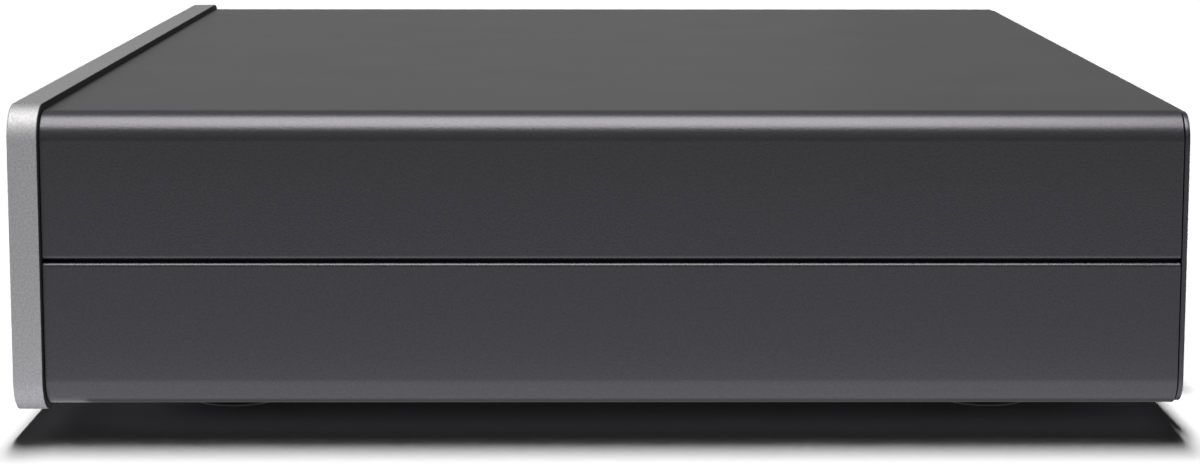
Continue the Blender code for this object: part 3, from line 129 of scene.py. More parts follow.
def newItem(name, data):
    item = bpy.data.objects.new(name, data)
    bpy.context.scene.collection.objects.link(item)
    return item


def settle(item):
    # the finished mesh of an object, in the player's own frame
    bpy.context.view_layer.update()
    graph = bpy.context.evaluated_depsgraph_get()
    mesh = bpy.data.meshes.new_from_object(item.evaluated_get(graph))
    mesh.transform(item.matrix_world)
    name = item.name
    bpy.data.objects.remove(item, do_unlink=True)
    work = bmesh.new()
    work.from_mesh(mesh)
    bmesh.ops.remove_doubles(work, verts=work.verts, dist=0.001 * mm)
    bmesh.ops.recalc_face_normals(work, faces=work.faces)
    work.to_mesh(mesh)
    work.free()
    mesh.materials.clear()
    return newItem(name, mesh)


def plate(name, loops, low, high, edge=0.0, rounding=3, origin=(0, 0, 0), plane="front"):
    # outlines pushed through from low to high with a rounded edge; an inner loop is a hole
    curve = bpy.data.curves.new(name, "CURVE")
    curve.dimensions = "2D"
    curve.fill_mode = "BOTH"
    curve.extrude = (high - low) / 2 - edge
    curve.bevel_depth = edge
    curve.bevel_resolution = rounding
    curve.offset = -edge
    for loop in loops:
        spline = curve.splines.new("POLY")
        spline.points.add(len(loop) - 1)
        for point, (x, y) in zip(spline.points, loop):
            point.co = (x, y, 0, 1)
        spline.use_cyclic_u = True
    item = newItem(name, curve)
    middle = Vector(origin) + outOf[plane] * (low + high) / 2
    item.matrix_world = Matrix.Translation(middle) @ facing[plane].to_4x4()
    return settle(item)


def lathe(name, profile, origin, steps=64, axis="rear"):
    # turns (radius, height) points about an axis; a profile that starts off the axis is a ring
    closed = profile[0][0] > 0
    verts, rings = [], []
    for radius, height in profile:
        if radius < 1e-9:
            rings.append([len(verts)] * steps)
            verts.append((0, 0, height))
            continue
        rings.append(list(range(len(verts), len(verts) + steps)))
        for i in range(steps):
            a = 2 * pi * i / steps
            verts.append((radius * cos(a), radius * sin(a), height))
    faces = []
    pairs = list(zip(rings, rings[1:] + rings[:1]))
    for a, b in pairs if closed else pairs[:-1]:
        for i in range(steps):
            j = (i + 1) % steps
            face = list(dict.fromkeys((a[i], a[j], b[j], b[i])))
            if len(face) > 2:
                faces.append(face)
    mesh = bpy.data.meshes.new(name)
    mesh.from_pydata(verts, [], faces)
    item = newItem(name, mesh)
    item.matrix_world = Matrix.Translation(Vector(origin)) @ turns[axis].to_4x4()
    return settle(item)


def block(name, low, high, edge=0.0, segments=3):
    mesh = bpy.data.meshes.new(name)
    work = bmesh.new()
    bmesh.ops.create_cube(work, size=1.0)
    bmesh.ops.scale(work, vec=Vector(high) - Vector(low), verts=work.verts)
    work.to_mesh(mesh)
    work.free()
    item = newItem(name, mesh)
    item.location = (Vector(low) + Vector(high)) / 2
    if edge:
        bevel = item.modifiers.new("edge", "BEVEL")
        bevel.width = edge
        bevel.segments = segments
    return settle(item)


def beam(name, x, width, ys, zs, edge=0.0, segments=3):
    # block centred on x
    return block(name, (x - width / 2, ys[0], zs[0]), (x + width / 2, ys[1], zs[1]), edge, segments)


def combine(target, tool, operation):
    step = target.modifiers.new(operation, "BOOLEAN")
    step.operation = operation
    step.solver = "EXACT"
    step.object = tool
    done = settle(target)
    bpy.data.objects.remove(tool, do_unlink=True)
    return done


def cut(target, *tools):
    for tool in tools:
        target = combine(target, tool, "DIFFERENCE")
    return target


def join(target, *others):
    for other in others:
        target = combine(target, other, "UNION")
    return target


def gather(name, *items):
    # separate shells in one piece
    work = bmesh.new()
    for item in items:
        work.from_mesh(item.data)
        bpy.data.objects.remove(item, do_unlink=True)
    mesh = bpy.data.meshes.new(name)
    work.to_mesh(mesh)
    work.free()
    return newItem(name, mesh)


def dress(item, material, body="case", stands=(), angle=32):
    item.data.materials.clear()
    item.data.materials.append(material)
    item.data.shade_smooth()
    item.data.set_sharp_from_angle(angle=radians(angle))
    weighted = item.modifiers.new("flat faces", "WEIGHTED_NORMAL")
    weighted.keep_sharp = True
    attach(item, body)
    if stands:
        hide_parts(*stands)
    return item


# Materials

# Bead blasting leaves dents of 0.05 to 0.1 mm; they are drawn about twice as coarse,
# because the picture shows nothing finer than 0.16 mm
blasting = {"dentSize": 0.32 * mm, "dentDepth": 0.004 * mm, "cloudSize": 26 * mm}
noiseBand = {"From Min": 0.3, "From Max": 0.7}          # where nearly all values of a noise lie
# how far the roughness goes below and above its mean, and how much of its dents a surface shows
finishes = {"blasted": (0.008, 0.01, 1.0), "moulded": (0.05, 0.07, 0.5),
            "plated": (0.06, 0.08, 0.3)}


def noiseOf(tree, place, size, detail):
    return addNode(tree, "TexNoise", {"Vector": place, "Scale": 1 / size,
                                      "Detail": detail}).outputs["Fac"]


def finishSurface(tree, shader, kind, roughness, gloss, dents, depth):
    # one noise drives the roughness, another the dents, whose depth is in metres
    below, above, strength = finishes[kind]
    spread = addNode(tree, "MapRange", {"Value": gloss, **noiseBand, "To Min": roughness - below,
                                        "To Max": roughness + above})
    bump = addNode(tree, "Bump", {"Height": dents, "Strength": strength, "Distance": depth})
    tree.links.new(spread.outputs["Result"], shader.inputs["Roughness"])
    tree.links.new(bump.outputs["Normal"], shader.inputs["Normal"])


def blastedMetal(name, hexColour, edgeTint, roughness, speckle, depth):
    material, tree, shader = newMaterial(name, Metallic=1.0, Roughness=roughness,
                                         Specular_Tint=edgeTint)
    place = addNode(tree, "TexCoord").outputs["Object"]
    dents = noiseOf(tree, place, blasting["dentSize"], 2.0)
    clouds = noiseOf(tree, place, blasting["cloudSize"], 3.0)
    grain = addNode(tree, "ValToRGB", {"Fac": dents})
    shares = (1 - speckle, 1 + speckle)
    for stop, position, share in zip(grain.color_ramp.elements, noiseBand.values(), shares):
        stop.position = position
        stop.color = (*(c * share for c in toLinear(hexColour)[:3]), 1.0)
    tree.links.new(grain.outputs["Color"], shader.inputs["Base Color"])
    finishSurface(tree, shader, "blasted", roughness, clouds, dents, depth * blasting["dentDepth"])
    return material


# Clear anodised aluminium, bead blasted: a soft, faintly cool sheen with a fine sparkle
silverAnodised = blastedMetal("clear anodised aluminium, bead blasted", "#bebdc2",
                              (0.0, 0.0, 0.0, 1.0), 0.6, 0.13, 3.0)
# Dyed anodised aluminium, bead blasted: dark, and it lights up only where it faces a lamp
greyAnodised = blastedMetal("dark grey anodised aluminium, bead blasted", "#5d5c61",
                            (0.9, 0.9, 0.9, 1.0), 0.33, 0.09, 5.0)


def moulded(name, hexColour, roughness, grainSize, grainDepth, **sockets):
    # moulded plastic or rubber: its grain is the texture of the mould
    material, tree, shader = newMaterial(name, Base_Color=toLinear(hexColour), **sockets)
    place = addNode(tree, "TexCoord").outputs["Object"]
    grain = noiseOf(tree, place, grainSize, 3.0)
    finishSurface(tree, shader, "moulded", roughness, grain, grain, grainDepth)
    return material


# ABS, moulded with a fine spark-eroded grain: matt black
blackAbs = moulded("black ABS, grained mould", "#1b1b1c", 0.48, 0.35 * mm, 0.01 * mm, IOR=1.53)
# PBT, moulded smooth: a little glossier, as connectors are
blackPbt = moulded("black PBT, moulded", "#19191a", 0.38, 0.5 * mm, 0.005 * mm, IOR=1.57)
# Silicone rubber: dusty matt black
blackRubber = moulded("black silicone rubber", "#111111", 0.9, 0.4 * mm, 0.02 * mm, IOR=1.41)
# PBT in the two colours of a stereo pair: the same sheen as the black
whitePlastic = moulded("white PBT, moulded", "#dcdcd6", 0.36, 0.5 * mm, 0.004 * mm, IOR=1.57)
redPlastic = moulded("red PBT, moulded", "#a51c1c", 0.36, 0.5 * mm, 0.004 * mm, IOR=1.57)
# Polycarbonate dyed to pass infrared: almost black, polished, faintly red inside
darkWindow = moulded("infrared-pass polycarbonate, polished", "#0c0507", 0.08, 4 * mm, 0.002 * mm,
                     IOR=1.585, Coat_Weight=0.3, Coat_Roughness=0.04)
# Acrylic, polished: clear with a milky core
clearAcrylic = moulded("clear acrylic, polished", "#e6ecee", 0.1, 3 * mm, 0.002 * mm, IOR=1.49,
                       Transmission_Weight=0.7)


def platedMetal(name, hexColour, roughness, streak):
    # plated or rolled metal: fine streaks in its gloss, drawn out along the piece
    material, tree, shader = newMaterial(name, Base_Color=toLinear(hexColour), Metallic=1.0)
    place = addNode(tree, "TexCoord")
    stretched = addNode(tree, "Mapping", {"Vector": place.outputs["Object"],
                                          "Scale": (1.0, 1.0, 0.12)})
    lines = noiseOf(tree, stretched.outputs["Vector"], streak, 4.0)
    finishSurface(tree, shader, "plated", roughness, lines, lines, 0.004 * mm)
    return material


# Thin metals: gold and nickel are the shiniest, tin and zinc are duller, blackened steel dullest
goldPlate = platedMetal("gold plated brass, machined", "#e2bd6b", 0.2, 0.6 * mm)
tinPlate = platedMetal("tin plated steel sheet, rolled", "#c3c3be", 0.28, 0.8 * mm)
nickelPlate = platedMetal("nickel plated brass, drawn", "#c9c4b6", 0.22, 0.6 * mm)
zincSteel = platedMetal("zinc plated steel", "#b9bcc0", 0.32, 0.5 * mm)
blackSteel = platedMetal("black oxide steel", "#2b2b2d", 0.42, 0.5 * mm)
# What lies inside: varnished copper shines warm, ferrite and foam are dead matt, film shines
copperWire = platedMetal("enamelled copper wire", "#b8643a", 0.3, 0.9 * mm)
ferriteCore = moulded("sintered ferrite", "#2c2c2e", 0.6, 0.3 * mm, 0.02 * mm, IOR=1.9)
sleeveFilm = moulded("shrunk PVC sleeve", "#15171d", 0.22, 2 * mm, 0.01 * mm, IOR=1.54)
foamTape = moulded("acrylic foam tape", "#1a1a1a", 0.85, 0.5 * mm, 0.03 * mm, IOR=1.45)
ribbonFilm = moulded("polyester ribbon cable film", "#c4c5c8", 0.35, 1.27 * mm, 0.02 * mm, IOR=1.6)
leadSheath = moulded("coax sheath, extruded PVC", "#161616", 0.5, 0.8 * mm, 0.01 * mm, IOR=1.54)


def solderMask():
    # glass-fibre board under green solder mask: the copper below shows as lighter islands
    material, tree, shader = newMaterial("solder-masked glass fibre board", IOR=1.55)
    place = addNode(tree, "TexCoord").outputs["Object"]
    copper = addNode(tree, "TexVoronoi", {"Vector": place, "Scale": 1 / (6 * mm)},
                     distance="MANHATTAN")
    weave = noiseOf(tree, place, 0.5 * mm, 2.0)
    tone = addNode(tree, "ValToRGB", {"Fac": copper.outputs["Distance"]})
    tone.color_ramp.elements[0].color = toLinear("#2c6b4c")
    tone.color_ramp.elements[1].color = toLinear("#1b4b36")
    gloss = addNode(tree, "MapRange", {"Value": weave, "To Min": 0.25, "To Max": 0.4})
    tree.links.new(tone.outputs["Color"], shader.inputs["Base Color"])
    tree.links.new(gloss.outputs["Result"], shader.inputs["Roughness"])
    return material


boardMask = solderMask()
print("materials made")


# Camera, floor and light

# place in metres, angles in degrees; found by fitting the photo's straight edges
photoCamera = {"place": (0.5333, -0.00696, 0.0995), "tilt": 7.734, "yaw": 0.332, "roll": 0.05,
               "lens": 83.90, "sensor": 36.0, "shiftY": -0.05}


def makeCamera():
    data = bpy.data.cameras.new("camera")
    data.lens = photoCamera["lens"]
    data.sensor_width = photoCamera["sensor"]
    data.shift_y = photoCamera["shiftY"]
    data.clip_start = 0.01
    data.clip_end = 50.0
    camera = newItem("camera", data)
    tilt, yaw, roll = (radians(photoCamera[k]) for k in ("tilt", "yaw", "roll"))
    level = cos(tilt)
    look = Vector((-level * cos(yaw), level * sin(yaw), -sin(tilt)))
    turn = look.to_track_quat("-Z", "Y") @ Matrix.Rotation(roll, 3, "Z").to_quaternion()
    camera.matrix_world = Matrix.Translation(photoCamera["place"]) @ turn.to_matrix().to_4x4()
    bpy.context.scene.camera = camera


# lengths in metres, angles in degrees; floorSeen and floorMirrored are the floor's colour and its
# glow for the camera and for reflections
studio = {"floorSize": 6.0, "floorGrey": 0.3, "floorSeen": (1.2, 0.002),
          "floorMirrored": (0.0, 0.95), "skyGrey": 0.005, "skyMirrored": 0.36,
          "suns": 5, "sunWidth": 5.4, "sunStep": 3.0, "sunStart": 6.1, "sunLean": 0.6,
          "sunPower": 0.55, "stripSize": (2.1, 0.84), "stripPlace": (0.95, -0.05, 1.1),
          "stripPower": 24.0, "stripColour": (1.0, 0.995, 0.93)}
# cards that only reflections see: near stands between player and camera and darkens the side,
# ground lies before it, shade and under lie below it as painted shadow of the floor and let the
# lower edge fade, and far stands behind the rear and darkens that end of the top
cards = {"near": {"place": (0.41, 0.0, 0.215), "size": (1.6, 0.43), "tilt": 90, "glow": 0.12},
         "ground": {"place": (0.739, 0.0, 0.002), "size": (1.6, 1.21), "tilt": 0, "glow": 0.52},
         # painted shadow: shade and under are dark sheets under the player, seen only in
         # reflections
         "shade": {"place": (0.0, 0.004, 0.0004), "size": (0.18, 0.2055), "tilt": 0, "glow": 0.3},
         "under": {"place": (0.0, 0.004, 0.0008), "size": (0.16, 0.188), "tilt": 0, "glow": 0.03},
         "far": {"place": (-1.2, 0.95, 0.6), "size": (1.6, 1.4), "tilt": 90, "glow": 0.3}}


def rayShare(tree, *kinds):
    # 1 for rays of these kinds that met nothing matt before, 0 for others
    def calculate(operation, first, second):
        return addNode(tree, "Math", {0: first, 1: second}, operation=operation).outputs[0]

    path = addNode(tree, "LightPath")
    total = path.outputs[kinds[0]]
    for kind in kinds[1:]:
        total = calculate("MAXIMUM", total, path.outputs[kind])
    return calculate("MULTIPLY", total, calculate("LESS_THAN", path.outputs["Diffuse Depth"], 0.5))


def mixShaders(tree, share, first, second):
    return addNode(tree, "MixShader", {"Fac": share, 1: first.outputs[0], 2: second.outputs[0]})


def greyOf(value):
    return (value, value, value, 1.0)


def makeFloor():
    floorMaterial = bpy.data.materials.new("white studio paper, matt")
    floorMaterial.use_nodes = True
    tree = floorMaterial.node_tree
    tree.nodes.clear()
    plain, seen, mirrored = (
        addNode(tree, "BsdfPrincipled",
                {"Base Color": greyOf(colour), "Roughness": 1.0, "Specular IOR Level": 0.0,
                 "Emission Color": greyOf(1.0), "Emission Strength": glow})
        for colour, glow in ((studio["floorGrey"], 0.0), studio["floorSeen"],
                             studio["floorMirrored"]))
    mixed = mixShaders(tree, rayShare(tree, "Is Camera Ray"), plain, seen)
    bounced = rayShare(tree, "Is Glossy Ray", "Is Transmission Ray")
    mixed = mixShaders(tree, bounced, mixed, mirrored)
    out = addNode(tree, "OutputMaterial")
    tree.links.new(mixed.outputs[0], out.inputs["Surface"])
    bpy.ops.mesh.primitive_plane_add(size=studio["floorSize"])
    floor = bpy.context.object
    floor.name = "studio_floor"
    floor.data.materials.append(floorMaterial)


def makeCards():
    for name, values in cards.items():
        paper = newMaterial(name + " card, matt", Roughness=0.9, Base_Color=greyOf(0.0),
                            Emission_Color=greyOf(1.0), Emission_Strength=values["glow"])[0]
        bpy.ops.mesh.primitive_plane_add(size=1.0, location=values["place"],
                                         rotation=(0, radians(values["tilt"]), 0))
        card = bpy.context.object
        card.name = "studio_card_" + name
        card.scale = (values["size"][1], values["size"][0], 1)
        card.visible_camera = False
        card.visible_shadow = False
        card.visible_diffuse = False
        card.data.materials.append(paper)


def makeSky():
    world = bpy.data.worlds.new("studio")
    bpy.context.scene.world = world
    world.use_nodes = True
    tree = world.node_tree
    tree.nodes.clear()
    dim, mirrored, white = (
        addNode(tree, "Background", {"Strength": strength, "Color": greyOf(1.0)})
        for strength in (studio["skyGrey"], studio["skyMirrored"], 1.0))
    mixed = mixShaders(tree, rayShare(tree, "Is Glossy Ray"), dim, mirrored)
    mixed = mixShaders(tree, rayShare(tree, "Is Camera Ray", "Is Transmission Ray"), mixed, white)
    out = addNode(tree, "OutputWorld")
    tree.links.new(mixed.outputs[0], out.inputs["Surface"])


def makeLamps():
    # a row of narrow suns: together a strip of sky that leans to the far side, as the shadow shows
    lamps = []
    for i in range(studio["suns"]):
        sun = bpy.data.lights.new(f"sun_{i}", "SUN")
        sun.angle = radians(studio["sunWidth"])
        sun.energy = studio["sunPower"]
        away = -radians(studio["sunStart"] + i * studio["sunStep"])
        lamps.append((sun, (0, 0, 1), (radians(studio["sunLean"]), away, 0), False))
    # a wide soft strip overhead, a little warm: the highlight along the edges
    strip = bpy.data.lights.new("strip", "AREA")
    strip.shape = "RECTANGLE"
    strip.size, strip.size_y = studio["stripSize"]
    strip.energy = studio["stripPower"]
    strip.color = studio["stripColour"]
    lamps.append((strip, studio["stripPlace"], (0, 0, 0), True))
    for lamp, place, turn, glossy in lamps:
        holder = newItem(lamp.name, lamp)
        holder.location = place
        holder.rotation_euler = turn
        holder.visible_glossy = glossy          # reflections see the strip alone
        holder.visible_diffuse = not glossy     # matt surfaces and the shadow see the suns alone


makeCamera()
makeFloor()
makeCards()
makeSky()
makeLamps()
bpy.context.scene.view_settings.view_transform = "Standard"
print("camera and studio made")


# Case of two extruded halves

case = {"width": 213 * mm, "height": 46.2 * mm, "corner": 4.5 * mm, "wall": 2.0 * mm,
        "low": 4.8 * mm, "mouthDepth": 3.6 * mm, "footHole": 3.0 * mm,
        "seamGap": 0.4 * mm, "seamRound": 0.75 * mm, "tongue": 4.0 * mm, "tongueThick": 1.3 * mm,
        "tongueRoot": 2.4 * mm, "channelInset": 5.0 * mm, "channelBore": 1.4 * mm,
        "channelWall": 1.9 * mm, "channelSlot": 1.4 * mm, "railFloor": 11.2 * mm,
        "railReach": 3.0 * mm, "railThick": 1.2 * mm, "board": 1.6 * mm, "mouthWall": 1.6 * mm,
        "endEdge": 0.1 * mm, "reachForward": 0.1 * mm}
seamZ = case["low"] + case["height"] / 2
caseTop = case["low"] + case["height"]
shellLow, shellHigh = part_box("upper_shell")
# the photo's line between faceplate and case is narrower than the solids' gap
frontY, rearY = shellLow.y - case["reachForward"], shellHigh.y
panelLow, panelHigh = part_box("rear_panel")
faceLow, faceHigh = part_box("faceplate")
screwX = case["width"] / 2 - case["channelInset"]
screwZs = (case["low"] + case["channelInset"], caseTop - case["channelInset"])
screwPlaces = [(x, z) for z in screwZs for x in (-screwX, screwX)]


def channelOutline(cx, cy, wallLeft, wallTop):
    outer = case["channelBore"] + case["channelWall"]
    fromSide = 180 + degrees(acos((cx - wallLeft) / outer))
    toTop = 360 + degrees(asin((wallTop - cy) / outer))
    slotOuter = degrees(asin(case["channelSlot"] / 2 / outer))
    slotInner = degrees(asin(case["channelSlot"] / 2 / case["channelBore"]))
    points = arcPoints(cx, cy, outer, fromSide, 315 - slotOuter, 8)
    points += arcPoints(cx, cy, case["channelBore"], 315 - slotInner, slotInner - 45, 24)
    return points + arcPoints(cx, cy, outer, 315 + slotOuter, toTop, 8)


def shellOutline():
    side, top = case["width"] / 2, case["height"] / 2
    lip = case["seamGap"] / 2
    lipRadius = case["seamRound"]
    inner = side - case["wall"]
    tongueOut = inner - fit
    tongueIn = tongueOut - case["tongueThick"]
    root = lip + case["tongueRoot"]
    low = top - case["railFloor"] - case["board"] - fit
    high = low + case["board"] + 2 * fit
    tip = case["railReach"] - inner
    rim = case["railThick"]
    corner = case["corner"]
    rightLip = arcPoints(side - lipRadius, lip + lipRadius, lipRadius, -90, 0, 10)
    outside = rightLip + arcPoints(side - corner, top - corner, corner, 0, 90, 24)
    outside += arcPoints(corner - side, top - corner, corner, 90, 180, 24)
    outside += [(-x, y) for x, y in reversed(rightLip)]
    tongue = [(-tongueOut, lip), (-tongueOut, fit - case["tongue"]),
              (fit - tongueOut, -case["tongue"]), (-tongueIn, -case["tongue"]),
              (-tongueIn, root), (-inner, root + tongueOut - tongueIn + fit)]
    rails = [(-inner, low - rim), (tip, low - rim), (tip, low), (-inner, low),
             (-inner, high), (tip, high), (tip, high + rim), (-inner, high + rim)]
    inside = rails + channelOutline(case["channelInset"] - side, top - case["channelInset"],
                                    -inner, top - case["wall"])
    return outside + tongue + inside + [(-x, y) for x, y in reversed(inside)] + [(inner, lip)]


def sinkCone(x, z):
    # seat of a countersunk screw in the rear
    head, bore = 3.0 * mm, 1.1 * mm
    return lathe("sink", [(0, mm), (head + mm, mm), (bore, bore - head), (0, bore - head)],
                 (x, panelHigh.y, z), 48)


def footPlace(i):
    low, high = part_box(f"foot_{i}")
    return (low.x + high.x) / 2, (low.y + high.y) / 2, 0


def makeShells():
    wall = case["mouthWall"]
    mouth = roundedShape(case["width"] - 2 * wall, case["height"] - 2 * wall,
                         case["corner"] - wall, 0, seamZ)
    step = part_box("front_subframe")[0].y + case["mouthDepth"] + fit
    hole, above, below = case["footHole"], case["low"] + 4.2 * mm, case["low"] - 1.8 * mm
    outline = shellOutline()
    for name, turned in (("upper_shell", False), ("lower_shell", True)):
        points = [(-x, -y) for x, y in outline] if turned else outline
        points = [(x, y + seamZ) for x, y in points]
        shell = plate("case_" + name, [points], frontY, rearY, case["endEdge"], 2)
        shell = cut(shell, plate("mouth", [mouth], frontY - mm, step))
        shell = cut(shell, *(sinkCone(x, z) for x, z in screwPlaces if (z < seamZ) == turned))
        if turned:
            for i in range(1, 5):
                shell = cut(shell, lathe("hole", [(0, above), (hole, above), (hole, below),
                                                  (0, below)], footPlace(i), 40, "up"))
        dress(shell, greyAnodised, stands=[name])


makeShells()
print("case made")


# Front

front = {"corner": 5.5 * mm, "edge": 0.18 * mm, "clearance": 0.25 * mm, "sheetInset": 0.06 * mm,
         "sheetThick": 0.12 * mm, "lightZ": seamZ + 10.0 * mm, "lightRadius": 1.0 * mm,
         "lightBar": 2.2 * mm, "capBehind": 0.15 * mm, "capEdge": 0.22 * mm, "flange": 1.3 * mm,
         "flangeThick": 1.2 * mm, "flangeEdge": 0.1 * mm, "stem": 1.5 * mm, "stemSunk": 0.6 * mm,
         "standbyRadius": 4.75 * mm, "standbyX": -88 * mm,
         "presetXs": [34 * mm, 52 * mm, 70 * mm, 88 * mm], "presetSize": (11 * mm, 5.6 * mm),
         "numeral": 3.0 * mm, "ink": 0.02 * mm, "windowX": -46 * mm,
         "windowSize": (17 * mm, 6.4 * mm)}
capFront, flangeFront = faceLow.y + front["capBehind"], faceHigh.y + fit


def faceLoops(inset=0.0):
    # outline of the faceplate and its holes, all shrunk or widened by the inset
    gap = front["clearance"] + inset
    wide, high = front["presetSize"]
    loops = [roundedShape(faceHigh.x - faceLow.x - 2 * inset, faceHigh.z - faceLow.z - 2 * inset,
                          front["corner"] - inset, 0, seamZ, 28),
             circleShape(front["standbyRadius"] + gap, front["standbyX"], seamZ, 72)]
    loops += [pillShape(wide + 2 * gap, high + 2 * gap, x, seamZ) for x in front["presetXs"]]
    loops.append(pillShape(front["windowSize"][0] + 2 * gap, front["windowSize"][1] + 2 * gap,
                           front["windowX"], seamZ))
    loops += [circleShape(front["lightRadius"] + fit + inset, x, front["lightZ"], 32)
              for x in [front["standbyX"]] + front["presetXs"]]
    return loops


def makeFaceplate():
    face = plate("front_faceplate", faceLoops(), faceLow.y, faceHigh.y, front["edge"], 4)
    dress(face, silverAnodised, stands=["faceplate"], angle=40)
    # black sheet over the whole back, out to the faceplate's edge: it darkens the line between
    # faceplate and case
    sheet = plate("faceplate_sheet", faceLoops(front["sheetInset"]), faceHigh.y,
                  faceHigh.y + front["sheetThick"])
    dress(sheet, foamTape, stands=["faceplate_tape"])


def makeButton(node, x, cap, flange):
    flangeBack = flangeFront + front["flangeThick"]
    body = plate(node + "_cap", [cap], capFront, flangeBack - 0.3 * mm,
                 front["capEdge"], 4, (x, 0, seamZ))
    rim = plate("rim", [flange], flangeFront, flangeBack, front["flangeEdge"], 2,
                (x, 0, seamZ))
    r, start = front["stem"], flangeBack - front["stemSunk"]
    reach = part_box(node)[1].y - start
    stem = lathe("stem", [(0, 0), (r, 0), (r, reach - 0.3 * mm), (r - 0.2 * mm, reach), (0, reach)],
                 (x, start, seamZ), 32)
    dress(join(body, rim, stem), silverAnodised, node, [node])


def makeNumeral(number, x):
    # generic digit printed on a preset cap, as thick as a coat of ink
    text = bpy.data.curves.new(f"preset_numeral_{number}", "FONT")
    text.body = str(number)
    text.size = front["numeral"]
    text.align_x = "CENTER"
    text.align_y = "CENTER"
    text.extrude = front["ink"]
    item = newItem(text.name, text)
    place = Matrix.Translation((x, capFront - front["ink"] / 2, seamZ))
    item.matrix_world = place @ facing["front"].to_4x4()
    dress(settle(item), blackAbs, f"preset_button_{number}")


def makeWindow():
    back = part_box("infrared_window")[1].y
    wide, tall = front["windowSize"]
    x, grow = front["windowX"], 2 * front["flange"]
    pane = plate("infrared_pane", [pillShape(wide, tall, x, seamZ)],
                 capFront, back - 0.3 * mm, front["capEdge"], 4)
    ledge = plate("ledge", [pillShape(wide + grow, tall + grow, x, seamZ)],
                  flangeFront, back, front["flangeEdge"], 2)
    dress(join(pane, ledge), darkWindow, stands=["infrared_window"])


def makeLightGuides():
    barHalf, r, z = front["lightBar"], front["lightRadius"], front["lightZ"]
    groups = {"standby_light_guide": [front["standbyX"]], "preset_light_guide": front["presetXs"]}
    for node, xs in groups.items():
        low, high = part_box(node)
        shape = (circleShape(barHalf, xs[0], z) if len(xs) == 1
                 else pillShape(xs[-1] - xs[0] + 2 * barHalf, 2 * barHalf, (xs[0] + xs[-1]) / 2, z))
        bar = plate(node + "_lens", [shape], flangeFront,
                    flangeFront + front["flangeThick"], front["flangeEdge"], 2)
        reach = high.y - low.y
        for x in xs:
            dome = arcPoints(0, 0.55 * r, 0.45 * r, 90, 0, 4)
            dome = [(0, 0)] + [(r - 0.45 * r + a, 0.45 * r + 0.55 * r - b) for a, b in dome]
            profile = dome + [(r, reach), (0, reach)]
            bar = join(bar, lathe("guide", profile, (x, low.y, z), 32))
        dress(bar, clearAcrylic, stands=[node])


makeFaceplate()
makeButton("standby_button", front["standbyX"], circleShape(front["standbyRadius"]),
           circleShape(front["standbyRadius"] + front["flange"]))
for i, x in enumerate(front["presetXs"], 1):
    makeButton(f"preset_button_{i}", x, pillShape(*front["presetSize"]),
               pillShape(*(size + 2 * front["flange"] for size in front["presetSize"])))
    makeNumeral(i, x)
makeWindow()
makeLightGuides()
print("front made")


# Feet

foot = {"radius": 8.0 * mm, "edge": 1.0 * mm, "dish": 3.0 * mm, "dishDepth": 0.6 * mm,
        "grooves": (6.2 * mm, 5.0 * mm), "grooveDepth": 0.25 * mm, "stem": 2.7 * mm,
        "barb": 3.7 * mm, "lead": 0.3 * mm}


def makeFeet():
    under, wallTop = case["low"] - fit, case["low"] + case["wall"] + fit
    stem, barb, lead, radius, edge = (foot[k] for k in ("stem", "barb", "lead", "radius", "edge"))
    groove, dish, deep = foot["grooveDepth"], foot["dish"], foot["dishDepth"]
    for i in range(1, 5):
        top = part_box(f"foot_{i}")[1].z
        profile = [(0, top), (stem - lead, top), (barb, wallTop + lead), (barb, wallTop),
                   (stem, wallTop), (stem, under), (radius, under)]
        profile += arcPoints(radius - edge, edge, edge, 0, -90, 6)
        for r in foot["grooves"]:
            profile += [(r + groove, 0), (r, groove), (r - groove, 0)]
        profile += [(dish, 0), (dish - deep, deep), (0, deep)]
        dress(lathe(f"rubber_foot_{i}", profile, footPlace(i), axis="up"), blackRubber,
              stands=[f"foot_{i}"])


makeFeet()
print("feet made")


# Rear panel and screws

rear = {"edge": 0.1 * mm, "corner": 4.2 * mm, "screwHead": 2.7 * mm,
        "headRim": 0.15 * mm, "shank": 1.1 * mm, "tip": 0.5 * mm, "screwLength": 8 * mm,
        "driveSide": 1.1 * mm, "driveDepth": 1.0 * mm, "seatZ": 17.9 * mm}


def opening(x, z, width, height):
    return roundedShape(width + 2 * fit, height + 2 * fit, fit, x, z, 4)


def makeRearPanel():
    width, height = panelHigh.x - panelLow.x, panelHigh.z - panelLow.z
    loops = [roundedShape(width, height, rear["corner"], 0, seamZ, 24),
             opening(inlet["x"], inlet["z"], *inlet["neck"])]
    for values in (network, usb, optical):
        width, height = values["size"]
        loops.append(opening(values["x"], rear["seatZ"] + height / 2, width, height))
    loops += [circleShape(phono["nose"] + fit, x, phono["z"]) for x in phono["xs"].values()]
    loops += [circleShape(aerial["thread"] + fit, x, aerial["z"], 48) for x in aerial["xs"]]
    panel = plate("rear_plate", loops, panelLow.y, panelHigh.y, rear["edge"], 2)
    panel = cut(panel, *(sinkCone(x, z) for x, z in screwPlaces))
    dress(panel, greyAnodised, stands=["rear_panel"])


def makeRearScrews():
    head, shank, length = rear["screwHead"], rear["shank"], rear["screwLength"]
    side, depth = rear["driveSide"], rear["driveDepth"]
    profile = soften([(0, 0), (head, 0), (head, -rear["headRim"]), (shank, shank - head),
                      (shank, 0.8 * mm - length), (rear["tip"], -length), (0, -length)],
                     0.1 * mm, 2, False)
    socket = [(0, mm), (side, mm), (side, -depth), (0, -depth - 0.3 * mm)]
    for i, (x, z) in enumerate(screwPlaces, 1):
        place = (x, panelHigh.y - 0.05 * mm, z)
        screw = lathe(f"panel_screw_{i}", profile, place, 48)
        screw = cut(screw, lathe("drive", socket, place, 6))
        dress(screw, blackSteel, stands=[f"rear_screw_{i}"])


# Mains inlet: PBT body with a figure-of-eight recess and two pins

